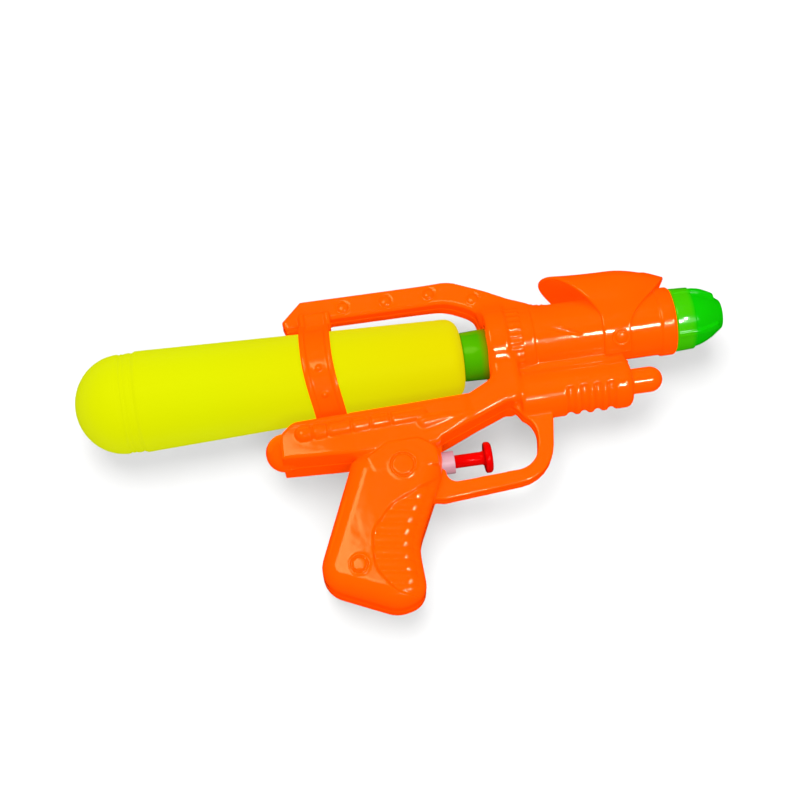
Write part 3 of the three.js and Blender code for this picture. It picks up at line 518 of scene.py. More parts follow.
def oblong(rear, front, low, high, fillet=0.0):
    """Corners of an upright oblong, with its top ones filleted"""
    return [(rear, low), (front, low), (front, high, fillet), (rear, high, fillet)]


def crest_at(x):
    """Height of the lower rail's top, a constant gap below the tank"""
    return -(tank_radius(x) + CREST_GAP)


def tank_radius(x):
    start = GROOVE_X + GROOVE_WIDTH
    end = SHOULDER_X - TANK_SHOULDER
    share = min(max((x - start) / (end - start), 0.0), 1.0)
    return TANK_REAR_RADIUS + (TANK_FRONT_RADIUS - TANK_REAR_RADIUS) * share


RAIL_OUTLINE = [
    (RAIL_REAR, -42), (-66, -43.6), (-30, -43.2), (-14, -34), (-14, crest_at(-14)), (-93, crest_at(-93), 7),
    (RAIL_REAR + 0.3, -30.5, 5),
]
FRAME_OUTLINE = [
    (-66, -43.4), (-28.5, -41.6), (4.5, -28.8), (FRAME_NOSE, -29.4, 6), (FRAME_NOSE, BARREL_RISE),
    (0, BARREL_RISE), (0, -15.5, 5), (-14, crest_at(-14)), (-66, crest_at(-66)),
]
GRIP_OUTLINE = [
    (-69.2, -46), (-92.4, -99.4, 12), (-58, -115.5, 14), (-44, -112.2, 9), (-44.8, -88, 24), (-30, -58, 14),
    (-27.8, -46.2, 9), (-36, -36.9, 9), (-53.5, -36.6, 5),
]
CHEEK_OUTLINE = [
    (-62.7, -46.8), (-52.3, -40.4, 4), (-38, -40.2, 7), (-30.5, -45.5, 7), (-30.5, -54), (-60, -54),
]
GUARD_OUTLINE = [
    (-40, -44), (-38, -66.4), (-30, -68), (20.4, -64.1, 19), (24.9, -36.5), (25.2, -FORE_DROP),
    (2, -FORE_DROP),
]
FINGER_GAP = [(-27.6, -41), (-27.6, -60.5, 5), (14.2, -58.2, 11), (17, -40, 12), (6.5, -27.6, 3)]
TOP_RAIL_OUTLINE = [
    (-90.4, 22.7), (-72, TOP_RAIL_LOW), (-15, TOP_RAIL_LOW, 24), (-1.2, 18.9, 5), (1, 13.9), (22, 13.9),
    (22, 17), (17.5, 20.9, 5), (4.5, 28.4, 14), (-12.5, TOP_RAIL_HIGH, 17), (-82.5, TOP_RAIL_HIGH),
    (-92, 27.3),
]
THUMB_OUTLINE = [
    (-30, -58.5), (-54.5, -69, 14), (-64.8, -80, 12), (-66.2, -97, 14), (-58, -108.5, 8), (-40, -116),
    (-25, -100),
]
PUMP_BAY = [(-60, -57), (-36, -57), (-36, -36), (-56, -36)]


# Forms of the housing: each gives its box and its distance function

def edge_distance(flat, side, edge):
    """Distance to a disc or plate from the distances to its rim and its sides, with a rounded edge"""
    outer = np.hypot(np.maximum(flat, 0), np.maximum(side, 0))
    return outer + np.minimum(np.maximum(flat, side), 0) - edge


def plate(corners, half, edge, narrowing=None):
    """An outline about the parting plane with rounded edges, narrower by an amount along X"""
    points = rounded(corners)

    def distance(x, y, z):
        flat = outline_distance(points, x[..., 0], y[..., 0])[..., None] + edge
        side = np.abs(z) - half + edge
        if narrowing:
            side = side + narrowing(x)
        return edge_distance(flat, side, edge)

    low, high = points.min(axis=0), points.max(axis=0)
    return (*low, -half), (*high, half), distance


def turned(profile, rise, fillet_steps=5):
    """A profile of (x, radius, fillet) turned about a line along X"""
    first, last = profile[0][0], profile[-1][0]
    points = rounded([(first, -AXIS_DEPTH), *profile, (last, -AXIS_DEPTH)][::-1], fillet_steps)
    reach = max(corner[1] for corner in profile)

    def distance(x, y, z):
        radius = np.hypot(y - rise, z)[0]
        step = 0.1
        radii = np.arange(0, radius.max() + 2 * step, step)
        table = outline_distance(points, x[:, 0, 0][:, None], radii[None, :])
        place = radius / step
        cell = place.astype(int)
        share = (place - cell).astype(np.float32)
        return table[:, cell] * (1 - share) + table[:, cell + 1] * share

    return (first, rise - reach, -reach), (last, rise + reach, reach), distance


def bore(start, end, radius, rise=0.0):
    """A plain round hole along X"""
    return turned([(start, 0), (start, radius), (end, radius), (end, 0)], rise)


def button(x0, y0, low, high, radius, edge):
    """A round disc across the housing with a rounded edge"""
    middle, half = (low + high) / 2, (high - low) / 2

    def distance(x, y, z):
        flat = np.hypot(x - x0, y - y0) - radius + edge
        side = np.abs(z - middle) - half + edge
        return edge_distance(flat, side, edge)

    return (x0 - radius, y0 - radius, low), (x0 + radius, y0 + radius, high), distance


def bar(start, end, start_radius, end_radius=None, dividers=()):
    """A round bar between two points, with round ends and fine grooves across it at given lengths"""
    start, end = np.array(start, float), np.array(end, float)
    end_radius = start_radius if end_radius is None else end_radius
    along = end - start
    length = np.linalg.norm(along)

    def distance(x, y, z):
        offset = [axis - value for axis, value in zip((x, y, z), start)]
        share = np.clip(sum(o * a for o, a in zip(offset, along)) / length ** 2, 0, 1)
        gap = np.sqrt(sum((o - share * a) ** 2 for o, a in zip(offset, along)))
        depth = sum(np.exp(-((share * length - place) / DIVIDER_WIDTH) ** 2) for place in dividers)
        return gap - (start_radius + (end_radius - start_radius) * share) + DIVIDER_DEPTH * depth

    reach = max(start_radius, end_radius)
    return tuple(np.minimum(start, end) - reach), tuple(np.maximum(start, end) + reach), distance


def ball(centre, radius, flatten=1.0):
    x0, y0, z0 = centre

    def distance(x, y, z):
        return (np.sqrt((x - x0) ** 2 + (y - y0) ** 2 + ((z - z0) / flatten) ** 2) - radius) * flatten

    low = (x0 - radius, y0 - radius, z0 - radius * flatten)
    return low, (x0 + radius, y0 + radius, z0 + radius * flatten), distance


def flutes(start, end, radius, depth, count, rise):
    """A ring with rounded flutes along it"""
    middle, half = (start + end) / 2, (end - start) / 2

    def distance(x, y, z):
        around = np.arctan2(z, y - rise)
        crest = radius - depth * (0.5 - 0.5 * np.cos(count * around)) ** FLUTE_SHARPNESS
        return np.maximum(np.hypot(y - rise, z) - crest, np.abs(x - middle) - half)

    return (start, rise - radius, -radius), (end, rise + radius, radius), distance


def strap_middle(y):
    """Where the strap's middle lies: it bows back at the side and sweeps forward to the lower rail"""
    bow = np.where(np.asarray(y) > STRAP_BOW_Y, *STRAP_BOWS)
    return STRAP_MIDDLE + bow * (y - STRAP_BOW_Y) ** 2


def strap_band(profile):
    """A profile about the strap's middle, turned round the tank"""
    first, last = profile[0][0], profile[-1][0]
    points = rounded([(first, -AXIS_DEPTH), *profile, (last, -AXIS_DEPTH)][::-1], 4)
    reach = max(corner[1] for corner in profile)

    def distance(x, y, z):
        return outline_distance(points, x - strap_middle(y), np.hypot(y, z))

    sweep = 4.5
    return (STRAP_MIDDLE + first, -reach, -reach), (STRAP_MIDDLE + last + sweep, reach, reach), distance


def finger_groove(middle):
    """A rounded groove round the lower half of the fore-end"""
    reach = FINGER_RING + FINGER_TUBE

    def distance(x, y, z):
        section = np.hypot(x - middle, np.hypot(y + FORE_DROP, z) - FINGER_RING) - FINGER_TUBE
        return -smooth_least(-section, FINGER_TOP - y, FINGER_FADE)

    low = (middle - FINGER_TUBE, -FORE_DROP - reach, -reach)
    return low, (middle + FINGER_TUBE, FINGER_TOP, reach), distance


class Housing:
    """The right half of the housing as distances on a grid in the gun frame"""

    def __init__(self, low, high, step):
        self.axes = [np.arange(a, b + step, step) for a, b in zip(low, high)]
        far = 50.0
        self.field = np.full([len(axis) for axis in self.axes], far, np.float32)

    def window(self, form, margin):
        low, high, distance = form
        cells = []
        for axis, a, b in zip(self.axes, low, high):
            first, last = np.searchsorted(axis, [a - margin, b + margin])
            cells.append(slice(first, max(last, first + 1)))
        x, y, z = (axis[cell] for axis, cell in zip(self.axes, cells))
        values = distance(x[:, None, None], y[None, :, None], z[None, None, :])
        return tuple(cells), values.astype(np.float32)

    def join(self, form, blend=0.0):
        """Adds a form. The blend is its fillet's size, or a size below the barrel's axis and one above it"""
        below, above = blend if isinstance(blend, tuple) else (blend, blend)
        cells, values = self.window(form, GRID_MARGIN + max(below, above))
        if below != above:
            start, span = BARREL_RISE + 3, 8
            share = ramp((self.axes[1][cells[1]] - start) / span)
            blend = (below + (above - below) * share).astype(np.float32)[None, :, None]
        self.field[cells] = smooth_least(self.field[cells], values, blend)

    def cut(self, form, blend=0.0):
        cells, values = self.window(form, GRID_MARGIN + blend)
        self.field[cells] = -smooth_least(-self.field[cells], values, blend)

    def press(self, corners, carrier, depth, rise, pitch, slope):
        """Sinks the skin inside an outline, leaving soft ribs that fade out at the carrier's rim"""
        points = rounded(corners)
        rim = rounded(carrier)
        x, y, z = self.axes
        spans = []
        for axis, values in zip((x, y), points.T):
            first, last = np.searchsorted(axis, [values.min(), values.max()])
            spans.append(slice(first, last))
        edge, rim_gap, rim_fade, lowest = 0.7, 0.3, 3.0, 3.0
        upper = slice(np.searchsorted(z, lowest), len(z))
        flat_x, flat_y = x[spans[0]][:, None], y[spans[1]][None, :]
        share = np.clip(-outline_distance(points, flat_x, flat_y) / edge, 0, 1)
        fade = np.clip((-outline_distance(rim, flat_x, flat_y) - rim_gap) / rim_fade, 0, 1)
        wave = np.abs(np.cos(np.pi * (flat_y + slope * flat_x) / pitch))
        amount = share * fade * (depth - rise * wave)
        self.field[spans[0], spans[1], upper] += amount[..., None].astype(np.float32)


def ramp(share):
    """Rises smoothly from 0 to 1"""
    share = np.clip(share, 0, 1)
    return share * share * (3 - 2 * share)


def smooth_least(first, second, blend):
    if np.ndim(blend) == 0 and not blend:
        return np.minimum(first, second)
    share = np.clip(0.5 + 0.5 * (second - first) / blend, 0, 1)
    return second + share * (first - second) - blend * share * (1 - share)


def skin(axes, field):
    """Points, faces and normals of the surface where the field is zero"""
    solid = field < 0
    cells = np.zeros([size - 1 for size in field.shape], np.int8)
    corner_slices = [
        tuple(slice(bit, size - 1 + bit) for bit, size in zip(bits, field.shape))
        for bits in np.ndindex(2, 2, 2)
    ]
    for cut in corner_slices:
        cells += solid[cut]
    places = np.argwhere((cells > 0) & (cells < 8))
    number = np.full(cells.shape, -1, np.int32)
    number[tuple(places.T)] = np.arange(len(places))
    total = np.zeros(places.shape)
    crossings = np.zeros(len(places))
    for axis in range(3):
        for bits in np.ndindex(2, 2):
            near = np.insert(np.array(bits), axis, 0)
            far = np.insert(np.array(bits), axis, 1)
            a = field[tuple((places + near).T)]
            b = field[tuple((places + far).T)]
            hit = (a < 0) != (b < 0)
            share = np.where(hit, a / np.where(hit, a - b, 1), 0)
            point = near + np.outer(share, far - near)
            total += point * hit[:, None]
            crossings += hit
    points = places + total / crossings[:, None]
    least_slope, longest_move = 0.25, 0.6
    for _ in range(2):
        value, slope = sample(field, points)
        move = value / np.maximum((slope ** 2).sum(axis=1), least_slope)
        points -= slope * move[:, None].clip(-longest_move, longest_move)
    _, slope = sample(field, points)
    faces = []
    for axis in range(3):
        others = [k for k in range(3) if k != axis]
        flips = np.argwhere(np.diff(solid, axis=axis))
        flips = flips[(flips[:, others] > 0).all(axis=1)]
        flips = flips[(flips[:, others] < np.array(cells.shape)[others]).all(axis=1)]
        ring = []
        for back in ((1, 1), (0, 1), (0, 0), (1, 0)):
            shift = np.zeros(3, int)
            shift[others] = back
            ring.append(number[tuple((flips - shift).T)])
        quad = np.stack(ring, axis=1)
        inward = solid[tuple(flips.T)] == (axis == 1)
        quad[inward] = quad[inward][:, ::-1]
        faces.append(quad)
    origin = np.array([axis[0] for axis in axes])
    step = axes[0][1] - axes[0][0]
    slope /= np.linalg.norm(slope, axis=1)[:, None] + 1e-9
    return origin + points * step, np.concatenate(faces), slope


def sample(field, points):
    """Value and slope of the field between its grid points, in cells"""
    cell = np.clip(np.floor(points).astype(int), 0, np.array(field.shape) - 2)
    share = points - cell
    value = np.zeros(len(points))
    slope = np.zeros(points.shape)
    for bits in np.ndindex(2, 2, 2):
        corner = field[tuple((cell + bits).T)]
        weights = [share[:, k] if bits[k] else 1 - share[:, k] for k in range(3)]
        value += corner * weights[0] * weights[1] * weights[2]
        for k in range(3):
            rest = np.prod([weights[m] for m in range(3) if m != k], axis=0)
            slope[:, k] += corner * rest * (1 if bits[k] else -1)
    return value, slope


def mould_housing():
    """Right half of the housing, joined from its forms and hollowed for the parts inside"""
    housing = Housing(GRID_LOW, GRID_HIGH, WALL_STEP)
    rail_and_frame(housing)
    grip_and_guard(housing)
    top_rail(housing)
    tank_strap(housing)
    top_rail_studs(housing)
    barrel(housing)
    sight_ridge(housing)
    barrel_gouge(housing)
    fore_end(housing)
    hollows(housing)
    return housing


def between(x, ends):
    """Rises smoothly from 0 to 1 between two places along the gun"""
    start, end = ends
    return ramp((x - start) / (end - start))


def rail_and_frame(housing):
    def narrowing(x):
        return (RAIL_HALF - FRAME_HALF) * between(x, RAIL_NARROWS)

    housing.join(plate(RAIL_OUTLINE, RAIL_HALF, edge=1.6, narrowing=narrowing))
    housing.join(ball(BUTT_PLACE, BUTT_RADIUS), blend=0.8)
    housing.join(plate(FRAME_OUTLINE, FRAME_HALF, edge=3.0), blend=3.5)
    start = np.array(RELIEF_PLACE)
    end = start + (RELIEF_LENGTH, RELIEF_LENGTH * math.tan(math.radians(RELIEF_SLOPE)), -RELIEF_SINK)
    housing.join(bar(start, end, RELIEF_RADIUS, dividers=RELIEF_DIVIDERS), blend=0.5)
    housing.join(bar(*LEAF_ENDS, *LEAF_RADII), blend=0.5)


def grip_and_guard(housing):
    housing.join(plate(GUARD_OUTLINE, GUARD_HALF, edge=0.9), blend=1.6)
    housing.join(plate(GRIP_OUTLINE, GRIP_HALF, edge=8.4), blend=0.8)
    housing.join(plate(CHEEK_OUTLINE, GRIP_HALF, edge=1.0), blend=0.3)
    housing.cut(plate(FINGER_GAP, 2 * GRIP_HALF, edge=0.1), blend=0.7)
    housing.press(THUMB_OUTLINE, GRIP_OUTLINE, GRIP_PANEL_DEPTH, **GRIP_RIBS)
    root, ring_top = GRIP_HALF - OVERRUN, GRIP_HALF + GRIP_RING_RISE
    dish, clear = GRIP_HALF - GRIP_RING_SINK, GRIP_HALF + OVERRUN
    disc_top = GRIP_HALF + GRIP_DISC_RISE
    for x, y, outer, inner in GRIP_RINGS:
        housing.join(button(x, y, root, ring_top, outer, edge=0.5), blend=0.4)
        housing.cut(button(x, y, dish, clear, outer - GRIP_RING_WIDTH, edge=0.3), blend=0.2)
        housing.join(button(x, y, root, disc_top, inner, edge=0.6), blend=0.2)


def rail_flare(x):
    """How far the top rail's sides flare out towards the front ring"""
    return TOP_RAIL_FLARE * between(x, TOP_RAIL_FLARES)


def top_rail(housing):
    def narrowing(x):
        return TOP_RAIL_FLARE - rail_flare(x)

    half = TOP_RAIL_HALF + TOP_RAIL_FLARE
    housing.join(plate(TOP_RAIL_OUTLINE, half, edge=1.4, narrowing=narrowing), blend=1.2)


def tank_strap(housing):
    """Band with raised rims round the tank, on a post up to the top rail and a foot on the lower rail"""
    half, rim = STRAP_WIDTH / 2, STRAP_RIM
    inside = tank_radius(STRAP_MIDDLE - half) + STRAP_CLEARANCE
    face = inside + STRAP_THICK
    lip = face + STRAP_LIP
    housing.join(strap_band([
        (-half, 0), (-half, lip, 0.6), (rim - half, lip, 0.5), (rim + 0.5 - half, face, 0.3),
        (half - rim - 0.5, face, 0.3), (half - rim, lip, 0.5), (half, lip, 0.6), (half, 0),
    ]), blend=0.4)
    post = float(strap_middle(STRAP_TOP))
    for rear, front, width in (
        (-half, rim - half, STRAP_POST_RIM_HALF),
        (-half, half, STRAP_POST_HALF),
        (half - rim, half, STRAP_POST_RIM_HALF),
    ):
        corners = oblong(post + rear, post + front, STRAP_POST_FOOT, STRAP_TOP, fillet=0.4)
        housing.join(plate(corners, width, edge=0.5), blend=0.4)
    low, middle, high = STRAP_FOOT_Y
    foot = float(strap_middle(middle))
    corners = oblong(foot - half + 1, foot + half - 1, low, high)
    housing.join(plate(corners, STRAP_FOOT_HALF, edge=0.5), blend=1.0)
    for angle in STRAP_RIVETS:
        turn = math.radians(angle)
        y = face * math.cos(turn)
        place = (float(strap_middle(y)), y, (face - 0.5) * math.sin(turn))
        housing.join(ball(place, STRAP_RIVET_RADIUS), blend=0.5)
    housing.cut(bore(*STRAP_BORE, inside))


def top_rail_studs(housing):
    """Flat studs, each in a shallow dish"""
    for x, y in TOP_RAIL_STUDS:
        side = TOP_RAIL_HALF + float(rail_flare(x))
        housing.cut(button(x, y, side - 0.35, side + OVERRUN, TOP_STUD_DISH, edge=0.3), blend=0.4)
        housing.join(ball((x, y, side - 0.4), TOP_STUD_RADIUS, TOP_STUD_FLATTEN), blend=0.2)


def barrel(housing):
    collar = BARREL_LENGTH - MUZZLE_COLLAR
    housing.join(turned([
        (0, 0), (0, RING_RADIUS, 1.6), (RING_LENGTH, RING_RADIUS, 2.2), (RING_LENGTH + 2, STEP_RADIUS, 1.6),
        (STEP_END, STEP_RADIUS - 0.2, 0.9), (STEP_END + 0.8, BARREL_RADIUS, 0.8),
        (collar, BARREL_RADIUS, 0.4), (collar, MUZZLE_RADIUS, 0.5), (BARREL_LENGTH, MUZZLE_RADIUS, 1.4),
        (BARREL_LENGTH, 0),
    ], BARREL_RISE), BARREL_FILLETS)
    start, end = RING_LENGTH + FIT, RING_LENGTH + FLUTE_LENGTH
    housing.join(flutes(start, end, FLUTE_RADIUS, FLUTE_DEPTH, FLUTE_COUNT, BARREL_RISE), blend=0.5)


def sight_ridge(housing):
    """Ridge along the barrel's top, scalloped where it slopes down"""
    ridge = [
        (RING_LENGTH, RIDGE_FOOT), (RIDGE_FRONT + 1, RIDGE_FOOT), (RIDGE_FRONT, RIDGE_FRONT_TOP, 2),
        (RIDGE_BEND, RIDGE_REAR_TOP, 6), (RING_LENGTH, RIDGE_REAR_TOP),
    ]
    housing.join(plate(ridge, RIDGE_HALF, edge=0.8), blend=1.2)
    slope = (RIDGE_FRONT_TOP - RIDGE_REAR_TOP) / (RIDGE_FRONT - RIDGE_BEND)
    for i in range(TOOTH_COUNT):
        x = TOOTH_START + TOOTH_PITCH * i
        y = RIDGE_REAR_TOP + slope * (x - RIDGE_BEND) + TOOTH_LIFT
        housing.cut(bar((x, y, -TOOTH_REACH), (x, y, TOOTH_REACH), TOOTH_RADIUS), blend=0.15)


def barrel_gouge(housing):
    """A pointed gouge in the barrel's side, running out towards the front"""
    ends = []
    for x, y, lift in GOUGE_ENDS:
        turn = math.acos((y - BARREL_RISE) / BARREL_RADIUS)
        radius = BARREL_RADIUS + lift
        ends.append((x, BARREL_RISE + radius * math.cos(turn), radius * math.sin(turn)))
    housing.cut(bar(*ends, *GOUGE_RADII), blend=0.2)


def fore_end(housing):
    """Round fore-end hung below the barrel by a web, with finger grooves and a pin at its front"""
    web = oblong(FORE_START, FORE_WEB_FRONT, -FORE_DROP, BARREL_RISE)
    housing.join(plate(web, FORE_WEB_HALF, edge=0.4), blend=0.4)
    housing.join(turned([
        (FORE_START, 0), (FORE_START, FORE_RADIUS, 1.4), (FORE_FRONT, FORE_RADIUS, 3.6), (FORE_FRONT, 0),
    ], -FORE_DROP), blend=1.8)
    for i in range(FINGER_COUNT):
        housing.cut(finger_groove(FINGER_START + FINGER_PITCH * i), blend=0.7)
    root, nose = FORE_FRONT - PIN_ROOT, FORE_FRONT + PIN_LENGTH - PIN_RADIUS
    housing.join(bar((root, -FORE_DROP, 0), (nose, -FORE_DROP, 0), PIN_RADIUS), blend=0.4)


def hollows(housing):
    """Seats for collar, pump, hoses and nozzle, and the flat parting face"""
    flange_start, flange_end = COLLAR_SEAT - FIT, COLLAR_FLANGE_END + FIT
    housing.cut(bore(-HOLE_OVERRUN, flange_start, COLLAR_RADIUS + FIT))
    housing.cut(bore(flange_start, flange_end, COLLAR_FLANGE + FIT))
    housing.cut(bore(*BOSS_HOLE, COLLAR_BOSS + FIT))
    housing.cut(bore(COLLAR_FRONT, BARREL_LENGTH + HOLE_OVERRUN, BARREL_BORE, BARREL_RISE))
    housing.cut(bore(*PUMP_ENDS, PUMP_RADIUS + FIT, -PUMP_DROP))
    housing.cut(plate(PUMP_BAY, PUMP_BAY_HALF, edge=1.0))
    for start, end in zip(HOSE_ROUTE, HOSE_ROUTE[1:]):
        housing.cut(bar(start, end, HOSE_CHANNEL))
    housing.cut(plate(oblong(*VALVE_BAY), VALVE_BAY_HALF, edge=0.3))
    z = housing.axes[2][None, None, :]
    housing.field = -smooth_least(-housing.field, (z - PARTING_GAP).astype(np.float32), PARTING_EDGE)


# Pieces

def piece(name, points, faces, finish, slot, body=None, normals=None):
    """A new object from points in the gun frame, riding on a body if one is named"""
    mesh = bpy.data.meshes.new(name)
    placed = np.c_[points, np.ones(len(points))] @ np.array(GUN).T
    mesh.from_pydata(placed[:, :3].tolist(), [], [tuple(face) for face in faces])
    mesh.update()
    mesh.polygons.foreach_set("use_smooth", [True] * len(mesh.polygons))
    if normals is not None:
        turn = np.array(Matrix.Rotation(ROLL, 3, "X"))
        mesh.normals_split_custom_set_from_vertices((normals @ turn.T).tolist())
    mesh.materials.append(finish.material)
    made = bpy.data.objects.new(name, mesh)
    bpy.context.scene.collection.objects.link(made)
    # The paper takes no colour from the pieces
    made.visible_diffuse = False
    if body:
        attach(made, body)
    return made


def make_shells(finish):
    """Two mirrored halves. The screws' recesses are only in the left one."""
    housing = mould_housing()
    points, faces, normals = skin(housing.axes, housing.field)
    right = piece("shell_right", points, faces, finish, "orange_plastic", "body", normals)
    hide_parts("right_shell")
    for x, y in SCREW_PLACES:
        housing.cut(button(x, y, SCREW_SEAT, SCREW_REACH, SCREW_RECESS, edge=0.1), blend=0.3)
    points, faces, normals = skin(housing.axes, housing.field)
    flip = np.array((1, 1, -1))
    mirrored = points * flip, faces[:, ::-1]
    left = piece("shell_left", *mirrored, finish, "orange_plastic", "body", normals * flip)
    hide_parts("left_shell")


def revolve(profile, rise=0.0, sides=128):
    """Points and faces of a closed profile of (x, radius) turned about a line along X"""
    profile = np.array(profile, float)
    angles = np.linspace(0, 2 * math.pi, sides, endpoint=False)
    points = []
    ring_of = []
    for x, radius in profile:
        if radius < 1e-6:
            ring_of.append([len(points)] * sides)
            points.append((x, rise, 0))
            continue
        ring_of.append(list(range(len(points), len(points) + sides)))
        points += [(x, rise + radius * math.cos(a), radius * math.sin(a)) for a in angles]
    faces = []
    for here, there in zip(ring_of, ring_of[1:]):
        for i in range(sides):
            k = (i + 1) % sides
            face = []
            for index in (here[i], here[k], there[k], there[i]):
                if index not in face:
                    face.append(index)
            if len(face) > 2:
                faces.append(face)
    return np.array(points), faces


def loft_faces(loops, count):
    """Faces of a closed skin through loops of points, with a cap on each end"""
    faces = []
    for i in range(loops - 1):
        for k in range(count):
            a, b = i * count + k, i * count + (k + 1) % count
            faces.append((a, a + count, b + count, b))
    faces.append(tuple(range(count)))
    faces.append(tuple((loops - 1) * count + k for k in reversed(range(count))))
    return faces


def soft_profile(corners, steps=6):
    """A filleted profile, open at the axis"""
    first, last = corners[0], corners[-1]
    ends = [(last[0], -AXIS_DEPTH), (first[0], -AXIS_DEPTH)]
    points = rounded([*corners, *ends], steps)
    return points[:-2]


def make_tank(finish):
    """Bottle: a round tail, a groove ring, a long taper, a shoulder and an open neck"""
    dome = []
    for i in range(TANK_DOME_STEPS + 1):
        angle = i / TANK_DOME_STEPS * math.pi / 2
        radius = (TANK_REAR_RADIUS - TANK_DOME_INSET) * math.sin(angle)
        dome.append((TAIL_X + TANK_DOME * (1 - math.cos(angle)), radius))
    bed = TANK_REAR_RADIUS - GROOVE_DEPTH
    crown = bed + GROOVE_CROWN
    mouth, throat = SHOULDER_X + NECK_LENGTH, NECK_RADIUS - TANK_WALL
    body = rounded([
        (GROOVE_X - 3.2, crown, 1.2), (GROOVE_X - 2.0, bed, 0.5), (GROOVE_X - 0.8, crown, 0.5),
        (GROOVE_X + 0.8, crown, 0.5), (GROOVE_X + 1.9, bed, 0.6),
        (GROOVE_X + GROOVE_WIDTH, TANK_REAR_RADIUS, 0.9),
        (SHOULDER_X, TANK_FRONT_RADIUS, TANK_SHOULDER), (SHOULDER_X, NECK_RADIUS, 0.6),
        (mouth, NECK_RADIUS, 0.4), (mouth, throat, 0.4), (SHOULDER_X - 3, throat), (SHOULDER_X - 3, 12),
        (-20, TANK_FRONT_RADIUS - TANK_WALL), (GROOVE_X, TANK_REAR_RADIUS - 2.2), (TAIL_X + 12, 17),
        (TAIL_X + TANK_WALL + 2, 6), (TAIL_X, 0),
    ], steps=7)
    closing = (TAIL_X + TANK_WALL + 1, 0)
    points, faces = revolve([*dome, *body[:-1], closing])
    tank = piece("bottle", points, faces, finish, "yellow_plastic", "tank")
    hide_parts("water_tank")


def make_collar(finish):
    """Screw collar: a cup for the tank's neck, a flange that the housing holds and a spigot each way"""
    rear, cup = SHOULDER_X + FIT, NECK_RADIUS + FIT
    ahead, behind = COLLAR_FRONT + SPIGOT_LENGTH, COLLAR_CUP - SPIGOT_LENGTH
    profile = rounded([
        (rear, cup), (rear, COLLAR_RADIUS - 0.5, 0.7), (COLLAR_SEAT - 0.4, COLLAR_RADIUS),
        (COLLAR_SEAT, COLLAR_FLANGE), (COLLAR_FLANGE_END, COLLAR_FLANGE), (COLLAR_FLANGE_END, COLLAR_BOSS),
        (COLLAR_FRONT, COLLAR_BOSS), (COLLAR_FRONT, SPIGOT_RADIUS), (ahead, SPIGOT_RADIUS),
        (ahead, SPIGOT_BORE), (behind, SPIGOT_BORE), (behind, SPIGOT_RADIUS), (COLLAR_CUP, SPIGOT_RADIUS),
        (COLLAR_CUP, cup),
    ], steps=5)
    points, faces = revolve([*profile, profile[0]], sides=112)
    collar = piece("screw_collar", points, faces, finish, "green_plastic", "body")
    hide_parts("tank_collar")


def eased(share):
    return (1 - math.cos(math.pi * min(max(share, 0.0), 1.0))) / 2


def hood_section(angle):
    """Loop of (x, radius) round the hood's wall at an angle from its top"""
    half = HOOD_WALL / 2
    rear = HOOD_REAR + (BAND_REAR - HOOD_REAR) * eased(angle / REAR_SWEEP)
    front = HOOD_FRONT + (BAND_FRONT - HOOD_FRONT) * eased(angle / FRONT_SWEEP)
    wide = 1 - eased((angle - FLARE_START) / FLARE_SWEEP)
    rear_lift, lift = HOOD_REAR_LIFT * wide, HOOD_LIFT * wide
    front_lift = HOOD_FRONT_LIFT * (1 - eased(angle / FRONT_LIFT_SWEEP))

    def centre(share):
        late = 2 * share - 1
        end = rear_lift if late < 0 else front_lift
        lip = HOOD_LIP * eased((share - HOOD_LIP_START) / HOOD_LIP_SLOPE) * (1 - eased(angle / LIP_SWEEP))
        radius = BAND_RADIUS - half + lift + (end - lift) * late ** 2 + lip
        return rear + half + (front - rear - HOOD_WALL) * share, radius

    def rim(share, start):
        x, radius = centre(share)
        turns = [math.radians(start - 180 * k / HOOD_RIM_STEPS) for k in range(1, HOOD_RIM_STEPS)]
        return [(x + half * math.cos(turn), radius + half * math.sin(turn)) for turn in turns]

    shares = [k / HOOD_STEPS for k in range(HOOD_STEPS + 1)]
    outside = [(x, radius + half) for x, radius in (centre(share) for share in shares)]
    inside = [(x, radius - half) for x, radius in (centre(1 - share) for share in shares)]
    return [*outside, *rim(1, 90), *inside, *rim(0, -90)]


def make_hood(finish):
    """Flared saddle whose legs draw in to a band, with rounded rims all round"""
    points = []
    for i in range(HOOD_SPANS + 1):
        angle = -LEG_ANGLE + 2 * LEG_ANGLE * i / HOOD_SPANS
        turn = math.radians(angle)
        loop = hood_section(abs(angle))
        points += [(x, BARREL_RISE + radius * math.cos(turn), radius * math.sin(turn)) for x, radius in loop]
    count = len(points) // (HOOD_SPANS + 1)
    faces = loft_faces(HOOD_SPANS + 1, count)
    hood = piece("hood", np.array(points), faces, finish, "orange_plastic", "body")
    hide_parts("barrel_hood")
    for side in (1, -1):
        make_stud(finish, side)


def make_stud(finish, side):
    """Round stud on a leg of the hood: a raised rim, a channel and a domed middle"""
    foot, rise, reach = STUD_DOME
    profile = soft_profile([
        (-0.6, 0), (-0.6, 4.3), (0.8, 4.2, 0.4), (0.8, 3.1, 0.3), (0.3, 2.9, 0.2), (foot, reach),
    ])
    dome = [(foot + rise * math.sin(a), reach * math.cos(a)) for a in np.linspace(0.05, math.pi / 2, 12)]
    points, faces = revolve([*profile[:-1], *dome[:-1], (foot + rise, 0)], sides=64)
    turn = math.radians(side * STUD_ANGLE)
    out = np.array((0, math.cos(turn), math.sin(turn)))
    across = np.array((0, -math.sin(turn), math.cos(turn)))
    base = np.array((STUD_X, BARREL_RISE, 0)) + out * (BAND_RADIUS - STUD_SINK)
    placed = base + points @ np.array((out, (1, 0, 0), across))
    name = "hood_stud_right" if side > 0 else "hood_stud_left"
    piece(name, placed, [face[::-1] for face in faces], finish, "orange_plastic", "body")


